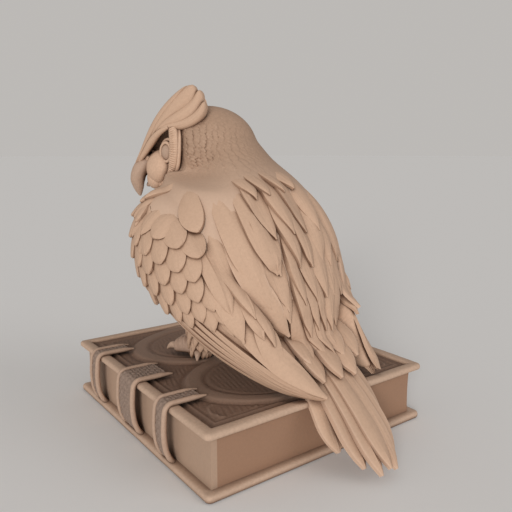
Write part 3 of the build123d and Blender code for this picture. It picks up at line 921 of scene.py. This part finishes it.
def scale_cells(u, v, pitch_u, pitch_v, seed):
    """Height of small overlapping scales: rises along u in jittered cells and drops at each tip."""
    r = np.random.default_rng(seed)
    shift = r.uniform(-0.28, 0.28, (256, 256, 2))
    gu, gv = u / pitch_u, v / pitch_v
    best = np.full(len(u), 9.0)
    rise = np.zeros(len(u))
    iu, iv = np.floor(gu).astype(int), np.floor(gv).astype(int)
    for du in (-1, 0, 1):
        for dv in (-1, 0, 1):
            cu, cv = iu + du, iv + dv
            j = shift[cu % 256, cv % 256]
            x = gu - (cu + 0.5 + j[:, 0])
            y = gv - (cv + 0.5 + 0.5 * (cu % 2) * 0.9 + j[:, 1])
            d = x * x + y * y
            near = d < best
            best = np.where(near, d, best)
            rise = np.where(near, 0.55 + 0.75 * x - 0.9 * y * y - 0.25 * x * x, rise)
    return np.clip(rise, 0, 1.2)


def head_scales(local):
    """Fine scale feathers behind the facial discs that fade out towards crown, nape and throat."""
    a, s, z = local @ HEAD_FWD, np.abs(local @ HEAD_LEFT), local @ UP
    back = np.arctan2(np.hypot(s, z + 3.0), a + 4.0) * 22.5
    across = np.arctan2(z + 3.0, s + 0.01) * 20.0
    back = back + 0.8 * np.sin(across / 4.2) + 0.35 * np.sin(across / 1.9 + 1.0)
    height = scale_cells(back, across + 0.35 * back, 2.7, 1.5, 77)
    fade = np.clip((back - 20) / 4, 0, 1) * np.clip((58 - back) / 26, 0, 1) * np.clip((15.5 - z) / 9, 0, 1)
    fade = fade * np.clip((z + 14) / 8, 0, 1)
    return height * fade


def sculpt_head(co, faces):
    """Sinks the facial discs and raises the small scales."""
    co, faces = refine(co, faces)
    normals = vertex_normals(co, faces)
    local = co - HEAD_CENTRE
    a = local @ HEAD_FWD
    z = local @ UP
    sink = np.zeros(len(co))
    for side in (1, -1):
        s = (local @ HEAD_LEFT) * side
        ds = (s - 9.5) / 10.0
        dz = (z + 0.5) / 13.0
        r = np.sqrt(ds ** 2 + dz ** 2)
        sink += np.where((a > 6) & (s > 0), -4.2 * np.clip(1.15 - r ** 2, 0, 1), 0)
    co = co + normals * (sink + 0.72 * head_scales(local))[:, None]
    return co, faces


def make_forms():
    head, middle, left, right = split_form()
    co, faces = sculpt_head(*head)
    new_piece("head.form", co, faces, head_shade_mat, "head_resin", ("head",), smooth=60)
    new_piece("torso.form", *middle, lit_skin_mat, "owl_resin", ("torso",), smooth=60)
    new_piece("left_wing.form", *left, lit_skin_mat, "owl_resin", ("left_wing",), smooth=60)
    new_piece("right_wing.form", *right, lit_skin_mat, "owl_resin", ("right_wing",), smooth=60)


# ------------------------------------------------------------------ the face
def tube(points, radii, flat=1.0, around=20, across=None):
    """Closed tube through points; radii are the half sizes along across, flat scales the other way."""
    pts = np.array(points, float)
    d = unit(np.gradient(pts, axis=0))
    ref = HEAD_LEFT if across is None else across
    u = unit(ref - d * np.sum(d * ref, axis=1)[:, None])
    w = np.cross(d, u)
    verts = []
    for p, uu, ww, r in zip(pts, u, w, radii):
        ru, rw = r if isinstance(r, (tuple, list, np.ndarray)) else (r, r * flat)
        for j in range(around):
            b = 2 * math.pi * j / around
            verts.append(p + uu * (ru * math.cos(b)) + ww * (rw * math.sin(b)))
    faces = lathe_grid(len(pts), around)
    verts.append(pts[0])
    verts.append(pts[-1])
    first, last = len(verts) - 2, len(verts) - 1
    base = (len(pts) - 1) * around
    for j in range(around):
        k = (j + 1) % around
        faces.append((first, k, j))
        faces.append((last, base + j, base + k))
    return np.array(verts), faces


def curve(points, n):
    """Smooth curve through a few points."""
    pts = np.array(points, float)
    t = np.linspace(0, len(pts) - 1, n)
    i = np.clip(t.astype(int), 0, len(pts) - 2)
    f = (t - i)[:, None]
    p0 = pts[np.maximum(i - 1, 0)]
    p1 = pts[i]
    p2 = pts[i + 1]
    p3 = pts[np.minimum(i + 2, len(pts) - 1)]
    return 0.5 * (2 * p1 + (p2 - p0) * f + (2 * p0 - 5 * p1 + 4 * p2 - p3) * f ** 2 + (3 * p1 - p0 - 3 * p2 + p3) * f ** 3)


def ring_tube(points, radius, around=12):
    pts = np.array(points)
    n = len(pts)
    d = unit(np.roll(pts, -1, 0) - np.roll(pts, 1, 0))
    mid = pts.mean(0)
    u = unit(pts - mid)
    w = unit(np.cross(d, u))
    verts = []
    for i in range(n):
        for j in range(around):
            b = 2 * math.pi * j / around
            verts.append(pts[i] + u[i] * (radius * math.cos(b)) + w[i] * (radius * math.sin(b)))
    faces = []
    for i in range(n):
        for j in range(around):
            a, b2 = i * around + j, i * around + (j + 1) % around
            c2, d2 = ((i + 1) % n) * around + (j + 1) % around, ((i + 1) % n) * around + j
            faces.append((a, b2, c2, d2))
    return np.array(verts), faces


def grooved_band(points, out_way, widths, proud, pitch, depth, rows=150, cols=14):
    """Raised band along a curve, cut across with fine grooves; out_way points out of the face along it."""
    pts = curve(points, rows)
    outs = curve(out_way, rows)
    d = unit(np.gradient(pts, axis=0))
    n = unit(outs - d * np.sum(outs * d, axis=1)[:, None])
    w = np.cross(d, n)
    length = np.concatenate([[0], np.cumsum(np.linalg.norm(np.diff(pts, axis=0), axis=1))])
    half = np.interp(np.linspace(0, 1, rows), np.linspace(0, 1, len(widths)), widths) / 2
    u = np.linspace(-1, 1, cols)
    profile = proud * (1 - np.abs(u) ** 3)
    tops, lows = [], []
    for i in range(rows):
        cut = depth * (0.5 + 0.5 * math.cos(2 * math.pi * length[i] / pitch)) * (1 - u ** 4)
        h = profile * min(1, half[i] / 1.0) - cut
        base = pts[i] + w[i] * (u * half[i])[:, None]
        tops.append(base + n[i] * h[:, None])
        lows.append(base - n[i] * 1.8)
    faces = []
    count = rows * cols
    for i in range(rows - 1):
        for j in range(cols - 1):
            a = i * cols + j
            faces.append((a, a + 1, a + cols + 1, a + cols))
            faces.append((count + a, count + a + cols, count + a + cols + 1, count + a + 1))
        a, b = i * cols, i * cols + cols - 1
        faces.append((a, a + cols, count + a + cols, count + a))
        faces.append((b, count + b, count + b + cols, b + cols))
    for j in range(cols - 1):
        e = (rows - 1) * cols + j
        faces.append((j, count + j, count + j + 1, j + 1))
        faces.append((e, e + 1, count + e + 1, count + e))
    return np.vstack(tops + lows), faces


def make_face():
    """Eyes with lids, and the facial discs: a grooved rim, a smooth outer ridge and a rounded cheek."""
    for side, word in ((1, "left"), (-1, "right")):

        def here(a, s, z):
            return on_head(a, s * side, z)

        def way(a, s, z):
            return HEAD_FWD * a + HEAD_LEFT * (s * side) + UP * z

        c = centre_mm(f"{word}_eye")
        look = unit(way(0.72, 0.69, 0.02))
        flat = unit(np.cross(look, UP))
        ball = ellipsoid(c + look * 0.6, (flat, UP, look), (4.4, 4.6, 4.3), 28, 40)
        new_piece(f"{word}_eye.ball", *ball, horn, "head_resin", (f"{word}_eye",))

        disc = Gather()
        for radius, thick, out in ((3.7, 0.8, 3.3), (5.0, 0.9, 1.9)):
            ring_pts = [c + look * out + flat * (radius * math.cos(b)) + UP * (radius * 1.12 * math.sin(b))
                        for b in np.linspace(0, 2 * math.pi, 49)[:-1]]
            disc.add(*ring_tube(ring_pts, thick))
        rim = [here(14.9, 14.2, 10.8), here(14.3, 16.4, 8.0), here(13.9, 17.9, 2.8), here(14.2, 17.6, -2.7),
               here(15.2, 14.9, -9.1), here(17.4, 11.8, -13.2), here(21.3, 7.8, -15.4), here(24.6, 4.6, -17.4)]
        rim_out = [way(0.5, 0.8, 0.35), way(0.5, 0.85, 0.2), way(0.5, 0.87, 0.0), way(0.5, 0.87, -0.05),
                   way(0.55, 0.8, -0.15), way(0.6, 0.75, -0.25), way(0.65, 0.7, -0.35), way(0.7, 0.6, -0.5)]
        disc.add(*grooved_band(rim, rim_out, (3.6, 4.2, 4.4, 4.4, 4.2, 3.8, 3.0, 1.2), 1.1, 1.0, 0.34))
        ridge = [here(11.6, 14.6, 10.6), here(11.2, 16.6, 7.4), here(11.1, 18.0, 4.0), here(11.4, 18.3, -1.6),
                 here(12.4, 16.6, -8.0), here(14.8, 13.6, -13.0), here(18.2, 10.2, -16.4), here(22.5, 5.8, -19.0)]
        pts = curve(ridge, 70)
        disc.add(*tube(pts, [(0.6 * math.sin(math.pi * min(1, t * 1.1 + 0.06)) + 0.35) for t in np.linspace(0, 0.9, 70)],
                       around=14))
        cheek_axes = (unit(way(0.8, 0.6, -0.2)), unit(np.cross(unit(way(0.8, 0.6, -0.2)), UP)), UP)
        disc.add(*ellipsoid(here(21.6, 6.4, -7.8), cheek_axes, (5.2, 8.2, 7.6)))
        disc.add(*ellipsoid(here(23.2, 4.6, -12.4), cheek_axes, (4.2, 5.2, 5.6)))
        disc.piece(f"{word}_facial_disc.rim", lit_skin_mat, "head_resin", (f"{word}_facial_disc",), smooth=50)


def make_beak():
    pts = curve([on_head(22.0, 0, -4.5), on_head(28.0, 0, -6.4), on_head(31.2, 0, -9.4), on_head(32.6, 0, -13.4),
                 on_head(32.3, 0, -17.6), on_head(31.7, 0, -21.6)], 34)
    t = np.linspace(0, 1, 34)
    wide = np.interp(t, [0, 0.3, 0.55, 0.8, 1], [3.9, 4.2, 3.7, 2.3, 0.35])
    deep = np.interp(t, [0, 0.3, 0.5, 0.64, 0.82, 1], [4.4, 4.0, 3.6, 3.4, 2.3, 0.35])
    verts, faces = tube(pts, list(zip(wide, deep)), around=30)
    new_piece("upper_beak.horn", verts, faces, horn, "head_resin", ("upper_beak",))
    pts = curve([on_head(18, 0, -12.5), on_head(24, 0, -14.2), on_head(28.4, 0, -16.8)], 16)
    verts, faces = tube(pts, [(3.2 * (1 - x ** 3) + 0.4, 2.2 * (1 - x ** 3) + 0.4) for x in np.linspace(0, 1, 16)])
    new_piece("lower_beak.horn", verts, faces, horn, "head_resin", ("lower_beak",))


def make_tufts():
    """Brow and ear tuft: a few broad feathers in one sweep from the beak's root, up and back past the crown."""
    # each feather: path in the head's own directions, width, settings
    blades = [
        ([(20.4, 10.5, 9.0), (17.4, 13.4, 10.0), (10.2, 16.6, 10.8), (4.8, 18.2, 13.2), (1.4, 18.8, 16.6), (-0.2, 18.6, 20.6)],
         5.0, 0.30, 0.6),
        ([(22.0, 9.0, 8.0), (18.0, 12.6, 10.6), (12.4, 15.4, 13.2), (6.8, 17.0, 16.6), (3.2, 17.4, 20.8), (1.8, 17.2, 25.6)],
         6.8, 0.25, 0.62),
        ([(24.6, 6.6, 5.4), (20.4, 9.8, 10.4), (15.2, 12.8, 15.4), (10.6, 14.8, 19.8), (7.0, 16.0, 23.6), (4.6, 16.4, 27.8)],
         8.4, 0.22, 0.74),
        ([(32.6, 1.4, -6.0), (29.6, 3.0, -1.6), (26.2, 5.2, 4.0), (21.8, 8.0, 11.4), (17.2, 10.8, 17.6), (12.2, 13.2, 23.0),
          (7.4, 14.8, 27.6)], 5.4, 0.30, 0.45),
    ]
    for side, word in ((1, "left"), (-1, "right")):
        tuft = Gather()
        across = unit(HEAD_FWD * 0.72 + UP * 0.62 + HEAD_LEFT * (-0.30 * side))
        face = HEAD_LEFT * side
        for k, (path, width, root_width, shoulder) in enumerate(blades):
            pts = curve([on_head(a, s * side, z) for a, s, z in path], 30)
            tuft.add(*free_feather(pts, across, width, point=0.5, thick=2.6, dome=1.5, shaft=0.15, seed=600 + k,
                                   shoulder=shoulder, root_width=root_width, rows=34, groove=0.05, face=face))
        # the hood over the eye, from the beak's root back to the tuft's bend
        hood = curve([on_head(a, s * side, z) for a, s, z in
                      [(31.4, 1.8, -5.4), (27.6, 5.2, -0.6), (24.2, 8.6, 4.0), (20.4, 12.2, 7.6), (16.2, 15.4, 9.8)]], 30)
        radii = [(0.7 + 1.0 * math.sin(math.pi * min(1, 0.1 + t)), 0.7 + 0.8 * math.sin(math.pi * min(1, 0.1 + t)))
                 for t in np.linspace(0, 0.9, 30)]
        tuft.add(*tube(hood, radii, around=18, across=across))
        tuft.piece(f"{word}_ear_tuft.feathers", plumage, "owl_resin", (f"{word}_ear_tuft",), smooth=50)


# ------------------------------------------------------------------ legs and feet
FOOT_SIDE = 15.0


def make_legs():
    """Feathered shins: a smooth shin with short pointed feathers in rings."""
    for side, word in ((1, "left"), (-1, "right")):
        verts, faces = remesh_union(f"{word}_leg", [cad_arrays(f"{word}_leg")], 0.8, 8)
        new_piece(f"{word}_leg.form", verts, faces, lit_skin_mat, "owl_resin", (f"{word}_leg",), smooth=60)
        bvh = BVHTree.FromPolygons(verts.tolist(), faces)
        fluff = Gather()
        k = 0
        for row, z in enumerate(np.arange(40.4, 5, -3.6)):
            middle = at(-6 + 0.25 * (22 - z), side * FOOT_SIDE, z)
            for j in range(10):
                a = 2 * math.pi * (j + 0.5 * (row % 2)) / 10
                d = BODY_FWD * math.cos(a) + BODY_LEFT * math.sin(a)
                hit = bvh.ray_cast(Vector(middle + d * 40), Vector(-d), 60)
                if hit[0] is None:
                    continue
                k += 1
                root = np.array(hit[0])
                n = unit(np.array(hit[1]) + d)
                down = unit(-UP - n * (-UP @ n))
                pts = [root + down * (8 * t) + n * (0.2 + 1.2 * t) for t in np.linspace(0, 1, 7)]
                fluff.add(*free_feather(pts, np.cross(n, down), 4.8, point=0.9, thick=0.7, dome=0.5, seed=700 + k,
                                        shoulder=0.4, rows=9, face=n))
        fluff.piece(f"{word}_leg.fluff", plumage, "owl_resin")


def make_feet():
    """Thick toes with folds of skin across them; the claws keep their own modelled shape."""
    for side, word in ((1, "left"), (-1, "right")):
        verts, faces = remesh_union(f"{word}_foot", [cad_arrays(f"{word}_foot")], 0.45, 6)
        n = vertex_normals(verts, faces)
        start = at(0.5, side * FOOT_SIDE, 3.0)
        far = np.hypot(*(verts - start)[:, :2].T)
        fold = np.sin(far * 6.28 / 2.3) * 0.24 * np.clip((far - 5) / 3, 0, 1) * np.clip(n[:, 2] + 0.5, 0, 1)
        verts = verts + n * fold[:, None]
        new_piece(f"{word}_foot.toes", verts, faces, foot_mat, "head_resin", (f"{word}_foot",), smooth=60)
        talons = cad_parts[f"{word}_talons"].data
        talons.materials.clear()
        talons.materials.append(horn)


# ------------------------------------------------------------------ the book
BOOK_X = 57.5
BOOK_Y = 62.5
RIM = 5.0
PANEL_TOP = 25.2
LOBE = (38.5, 26.5)
LOBE_Y = 26.0


def rounded_loop(inset, corner, count):
    """Points round a rectangle with rounded corners, inset from the cover's outline."""
    hx, hy = BOOK_X - inset, BOOK_Y - inset
    r = max(corner - inset, 0.35)
    straight = [2 * (hy - r), 2 * (hx - r)] * 2
    points = []
    corners = [(hx - r, hy - r, 0), (-hx + r, hy - r, 90), (-hx + r, -hy + r, 180), (hx - r, -hy + r, 270)]
    for i, (cx, cy, turn) in enumerate(corners):
        for t in np.linspace(0, 90, 9):
            a = math.radians(turn + t)
            points.append((cx + r * math.cos(a), cy + r * math.sin(a)))
        nx, ny, turn_next = corners[(i + 1) % 4]
        a = math.radians(turn + 90)
        b = math.radians(turn_next)
        start = np.array([cx + r * math.cos(a), cy + r * math.sin(a)])
        end = np.array([nx + r * math.cos(b), ny + r * math.sin(b)])
        for t in np.linspace(0, 1, count + 2)[1:-1]:
            points.append(tuple(start + (end - start) * t))
    return np.array(points)


def board(name, profile, slot, replaces, material, seed):
    """A cover board: rings of the same loop at each (inset, height) of a profile, closed above and below."""
    rings = []
    for inset, z in profile:
        loop = rounded_loop(inset, 2.4, 60)
        rings.append(np.column_stack([loop, np.full(len(loop), z)]))
    cols = len(rings[0])
    verts = np.vstack(rings)
    hand = wobble(verts, 9.0, seed) * 0.16 + wobble(verts, 3.1, seed + 1) * 0.06
    outer = np.clip((verts[:, 2:3] > profile[0][1] + 0.05), 0, 1).ravel()
    verts[:, 2] += hand * outer
    flat_in = np.zeros_like(verts)
    flat_in[:, :2] = -unit(verts[:, :2]) * np.abs(wobble(verts, 7.0, seed + 2))[:, None] * 0.16
    verts = verts + flat_in * outer[:, None]
    faces = lathe_grid(len(rings), cols)
    faces = [tuple(reversed(f)) for f in faces]
    faces.append(tuple(range(cols)))
    faces.append(tuple(reversed(range((len(rings) - 1) * cols, len(rings) * cols))))
    new_piece(name, verts, faces, material, slot, replaces, smooth=50)


def lobe_edge(x, y):
    """How far inside the figure of eight a point is, in mm; negative outside."""
    inside = []
    for sign in (-1, 1):
        r = np.sqrt((x / LOBE[0]) ** 2 + ((y - sign * LOBE_Y) / LOBE[1]) ** 2)
        inside.append((1 - r) * min(LOBE))
    return np.maximum(inside[0], inside[1])


def panel_height(x, y):
    """Height of the tooled panel: a smooth raised figure of eight in a field of carved strokes and scrolls."""
    inside = lobe_edge(x, y)
    p = np.column_stack([x, y, np.zeros_like(x)])
    raised = 0.95 / (1 + np.exp(-(inside + 2.6) / 0.3)) - 0.55 / (1 + np.exp(-(inside - 2.6) / 0.4))
    groove = -0.35 * np.exp(-((inside + 3.7) / 0.6) ** 2)
    bead = 0.10 * np.exp(-((inside - 5.0) / 0.6) ** 2)
    line = -0.15 * np.exp(-((inside - 3.6) / 0.5) ** 2)
    # carved strokes running with the grain
    along = x * 0.30 + y * 0.954
    sweep = wobble(p, 11.0, 3) * 2.4
    strokes = np.sin((x * 0.954 - y * 0.30 + sweep) * 2.9) * (0.6 + 0.4 * np.sin(along * 0.55 + sweep))
    strokes = strokes + 0.6 * np.sin((x * 0.954 - y * 0.30 + 1.3 * sweep) * 5.3 + along * 0.2)
    # scrolls in the corners
    scrolls = np.zeros_like(x)
    for sx in (-1, 1):
        for sy in (-1, 1):
            dx, dy = (x - sx * 38.0) * sx, (y - sy * 45.0) * sy
            r = np.hypot(dx, dy)
            turn = np.arctan2(dy, dx)
            scrolls += np.exp(-((r - 7.5 - 1.6 * turn) / 1.0) ** 2) * np.clip((13 - r) / 2, 0, 1)
    edge = np.minimum(BOOK_X - RIM - np.abs(x), BOOK_Y - RIM - np.abs(y))
    border = 0.40 * np.exp(-((edge - 3.4) / 0.7) ** 2) - 0.35 * np.exp(-((edge - 1.8) / 0.6) ** 2)
    border = border - 0.25 * np.exp(-((edge - 5.0) / 0.5) ** 2)
    field = (1 / (1 + np.exp((inside + 5.0) / 0.5)) + 0.6 / (1 + np.exp(-(inside - 5.5) / 0.5))) * np.clip((edge - 5) / 1.0, 0, 1)
    pits = wobble(p, 2.2, 5) * 0.03
    return raised + groove + bead + line + border + field * (0.16 * strokes + 0.55 * scrolls) + pits


def make_panel():
    hx, hy = BOOK_X - RIM - 0.02, BOOK_Y - RIM - 0.02
    nx, ny = 190, 208
    xs, ys = np.linspace(-hx, hx, nx), np.linspace(-hy, hy, ny)
    gx, gy = [g.ravel() for g in np.meshgrid(xs, ys)]
    z = PANEL_TOP - 0.15 + panel_height(gx, gy)
    top = np.column_stack([gx, gy, z])
    faces = []
    for j in range(ny - 1):
        for i in range(nx - 1):
            a = j * nx + i
            faces.append((a, a + 1, a + nx + 1, a + nx))
    edge = list(range(nx)) + [j * nx + nx - 1 for j in range(1, ny)]
    edge += [(ny - 1) * nx + i for i in range(nx - 2, -1, -1)] + [j * nx for j in range(ny - 2, 0, -1)]
    low = top[edge].copy()
    low[:, 2] = PANEL_TOP - 0.9
    base = len(top)
    n = len(edge)
    for k in range(n):
        m = (k + 1) % n
        faces.append((edge[k], base + k, base + m, edge[m]))
    faces.append(tuple(base + k for k in reversed(range(n))))
    new_piece("cover_panel.tooled", np.vstack([top, low]), faces, panel_mat, "panel_resin", ("cover_panel",), smooth=60)


def strap_line(grow, start):
    """Path of a strap in x and z: over the cover, round the rim and back in to the lower cover."""
    return curve([(start, 0, 26.45 + grow), (48, 0, 26.5 + grow), (53.5, 0, 26.6 + grow), (56.6, 0, 26.5 + grow * 0.9),
                  (58.0 + grow * 0.7, 0, 25.1 + grow * 0.3), (58.5 + grow, 0, 21.5), (58.8 + grow, 0, 15.5),
                  (58.2 + grow, 0, 9.6), (56.9 + grow * 0.8, 0, 5.6), (55.2 + grow * 0.6, 0, 3.3)], 90)


STRAPS = {"near": (30.3, 9.3), "middle": (-1.3, 16.3), "far": (-36.9, 8.8)}


def make_strap(name, y, width):
    """Tooled band between two rounded cords whose ends taper to a point on the cover."""
    line = strap_line(0.15, 43.0)
    d = unit(np.gradient(line, axis=0))
    n = unit(np.cross(d, [0, 1, 0]))
    if n[0] @ UP < 0:
        n = -n
    length = np.concatenate([[0], np.cumsum(np.linalg.norm(np.diff(line, axis=0), axis=1))])
    rows = 130
    cols = max(16, int(width * 2.4))
    places = np.linspace(0, length[-1], rows)
    centre = np.column_stack([np.interp(places, length, line[:, k]) for k in range(3)])
    normal = unit(np.column_stack([np.interp(places, length, n[:, k]) for k in range(3)]))
    half = width / 2 - 0.9
    u = np.linspace(-1, 1, cols)
    tops, lows = [], []
    for i in range(rows):
        q = u * half
        weave = np.sin(places[i] * 3.1 + q * 2.2) * np.sin(places[i] * 2.3 - q * 3.0)
        loops = np.sin(np.hypot((places[i] % 3.4) - 1.7, (q + 50) % 3.0 - 1.5) * 3.8)
        h = 0.55 + 0.16 * weave + 0.20 * loops
        arc = 0.25 * (1 - u ** 2)
        base = centre[i] + np.outer(q, [0, 1, 0]) + np.array([0, y, 0])
        tops.append(base + normal[i] * (h + arc)[:, None])
        lows.append(base - normal[i] * 0.55)
    faces = []
    count = rows * cols
    for i in range(rows - 1):
        for j in range(cols - 1):
            a = i * cols + j
            faces.append((a, a + 1, a + cols + 1, a + cols))
            faces.append((count + a, count + a + cols, count + a + cols + 1, count + a + 1))
        a, b = i * cols, i * cols + cols - 1
        faces.append((a, a + cols, count + a + cols, count + a))
        faces.append((b, count + b, count + b + cols, b + cols))
    for j in range(cols - 1):
        e = (rows - 1) * cols + j
        faces.append((j, count + j, count + j + 1, j + 1))
        faces.append((e, e + 1, count + e + 1, count + e))
    new_piece(f"{name}_strap.tooled", np.vstack(tops + lows), faces, strap_mat, "panel_resin", (f"{name}_strap",), smooth=60)

    cords = Gather()
    for sign in (-1, 1):
        pts = strap_line(0.55, 40.4)
        pts = np.array(pts) + np.array([0, y + sign * (width / 2 - 1.0), 0])
        t = np.linspace(0, 1, len(pts))
        radii = [1.12 * min(1, 0.35 + x * 8) * (1 - 0.25 * max(0, (x - 0.9) / 0.1)) for x in t]
        pts[:, 2] += np.array([0.6 * (min(1, 0.35 + x * 8) - 1) for x in t])
        pts[:, 1] += sign * 0.12 * wobble(pts, 5.0, 9)
        cords.add(*tube(pts, radii, around=16, across=np.array([0, 1.0, 0])))
    cords.piece(f"{name}_strap_cords.rolled", cord_mat, "cover_resin", (f"{name}_strap_cords",), smooth=60)


def make_book():
    board("upper_cover.board", [(9.0, 23.6), (1.2, 23.6), (0.5, 23.75), (0.1, 24.2), (0.0, 24.9), (0.15, 25.6),
                                (0.6, 26.1), (1.3, 26.3), (2.6, 26.35), (3.8, 26.3), (4.5, 26.05), (4.9, 25.5),
                                (5.0, 24.35), (9.0, 24.3)], "cover_resin", ("upper_cover",), rim_mat, 40)
    board("lower_cover.board", [(8.0, 0.35), (1.2, 0.2), (0.5, 0.3), (0.1, 0.8), (0.0, 1.7), (0.2, 2.5), (0.7, 2.95),
                                (1.4, 3.1), (2.6, 3.12), (8.0, 3.1)], "cover_resin", ("lower_cover",), rim_mat, 50)
    make_panel()
    for name, (y, width) in STRAPS.items():
        make_strap(name, y, width)
    for node, material in (("spine_board", spine_mat), ("page_block", shaded_page_mat), ("base_felt", felt_mat),
                           ("neck_pin", steel_mat), ("wing_pins", steel_mat), ("leg_pins", steel_mat)):
        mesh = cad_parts[node].data
        mesh.materials.clear()
        mesh.materials.append(material)


# ------------------------------------------------------------------ stage
CAMERA_PLACE = np.array([149.4, 215.5, 120.4])
CAMERA_TURN = (143.66, 10.21)


def make_stage():
    floor_mesh = bpy.data.meshes.new("floor")
    r = 30.0
    floor_mesh.from_pydata([(-r, -r, 0), (r, -r, 0), (r, r, 0), (-r, r, 0)], [], [(0, 1, 2, 3)])
    floor = bpy.data.objects.new("floor", floor_mesh)
    bpy.context.scene.collection.objects.link(floor)
    m = bpy.data.materials.new("floor_paper")
    m.use_nodes = True
    bsdf = m.node_tree.nodes["Principled BSDF"]
    bsdf.inputs["Base Color"].default_value = (0.86, 0.85, 0.84, 1)
    bsdf.inputs["Roughness"].default_value = 1.0
    bsdf.inputs["Specular IOR Level"].default_value = 0.0
    floor_mesh.materials.append(m)

    world = bpy.data.worlds.new("studio")
    bpy.context.scene.world = world
    world.use_nodes = True
    n, l = world.node_tree.nodes, world.node_tree.links
    light = n["Background"]
    light.inputs["Color"].default_value = (1.0, 0.97, 0.94, 1)
    light.inputs["Strength"].default_value = 0.36
    seen = n.new("ShaderNodeBackground")
    seen.inputs["Color"].default_value = (0.505, 0.487, 0.468, 1)
    path = n.new("ShaderNodeLightPath")
    mix = n.new("ShaderNodeMixShader")
    l.new(path.outputs["Is Camera Ray"], mix.inputs["Fac"])
    l.new(light.outputs["Background"], mix.inputs[1])
    l.new(seen.outputs["Background"], mix.inputs[2])
    l.new(mix.outputs["Shader"], n["World Output"].inputs["Surface"])

    view = unit(np.array([0, 0, 65.0]) - CAMERA_PLACE)
    right = unit(np.cross(view, UP))
    flat = unit(view * np.array([1, 1, 0]))

    def sun(name, way, strength, soft, colour):
        lamp = bpy.data.lights.new(name, "SUN")
        lamp.energy = strength
        lamp.angle = math.radians(soft)
        lamp.color = colour
        o = bpy.data.objects.new(name, lamp)
        o.location = Vector(-way) * 0.6
        o.rotation_euler = Vector(way).to_track_quat("-Z", "Y").to_euler()
        bpy.context.scene.collection.objects.link(o)

    sun("key", unit(flat * 0.93 + right * 0.22 - UP * 0.28), 1.98, 24, (1.0, 0.985, 0.965))
    sun("side", unit(flat * 0.30 - right * 0.85 - UP * 0.42), 0.45, 40, (0.98, 0.98, 1.0))

    camera = bpy.data.cameras.new("camera")
    camera.sensor_width = 36.0
    camera.lens = 566.9 / 512 * 36.0
    camera.clip_start = 0.01
    cam = bpy.data.objects.new("camera", camera)
    cam.location = Vector(CAMERA_PLACE) * MM
    az, el = (math.radians(v) for v in CAMERA_TURN)
    back = Vector((math.sin(az) * math.cos(el), -math.cos(az) * math.cos(el), math.sin(el)))
    cam.rotation_euler = back.to_track_quat("Z", "Y").to_euler()
    bpy.context.scene.collection.objects.link(cam)
    bpy.context.scene.camera = cam
    bpy.context.scene.view_settings.view_transform = "Standard"


make_forms()
make_back()
make_wing_coverts(1, "left")
make_wing_coverts(-1, "right")
make_primaries(1, "left")
make_primaries(-1, "right")
make_breast()
make_tail()
make_face()
make_beak()
make_tufts()
make_legs()
make_feet()
make_book()
make_stage()
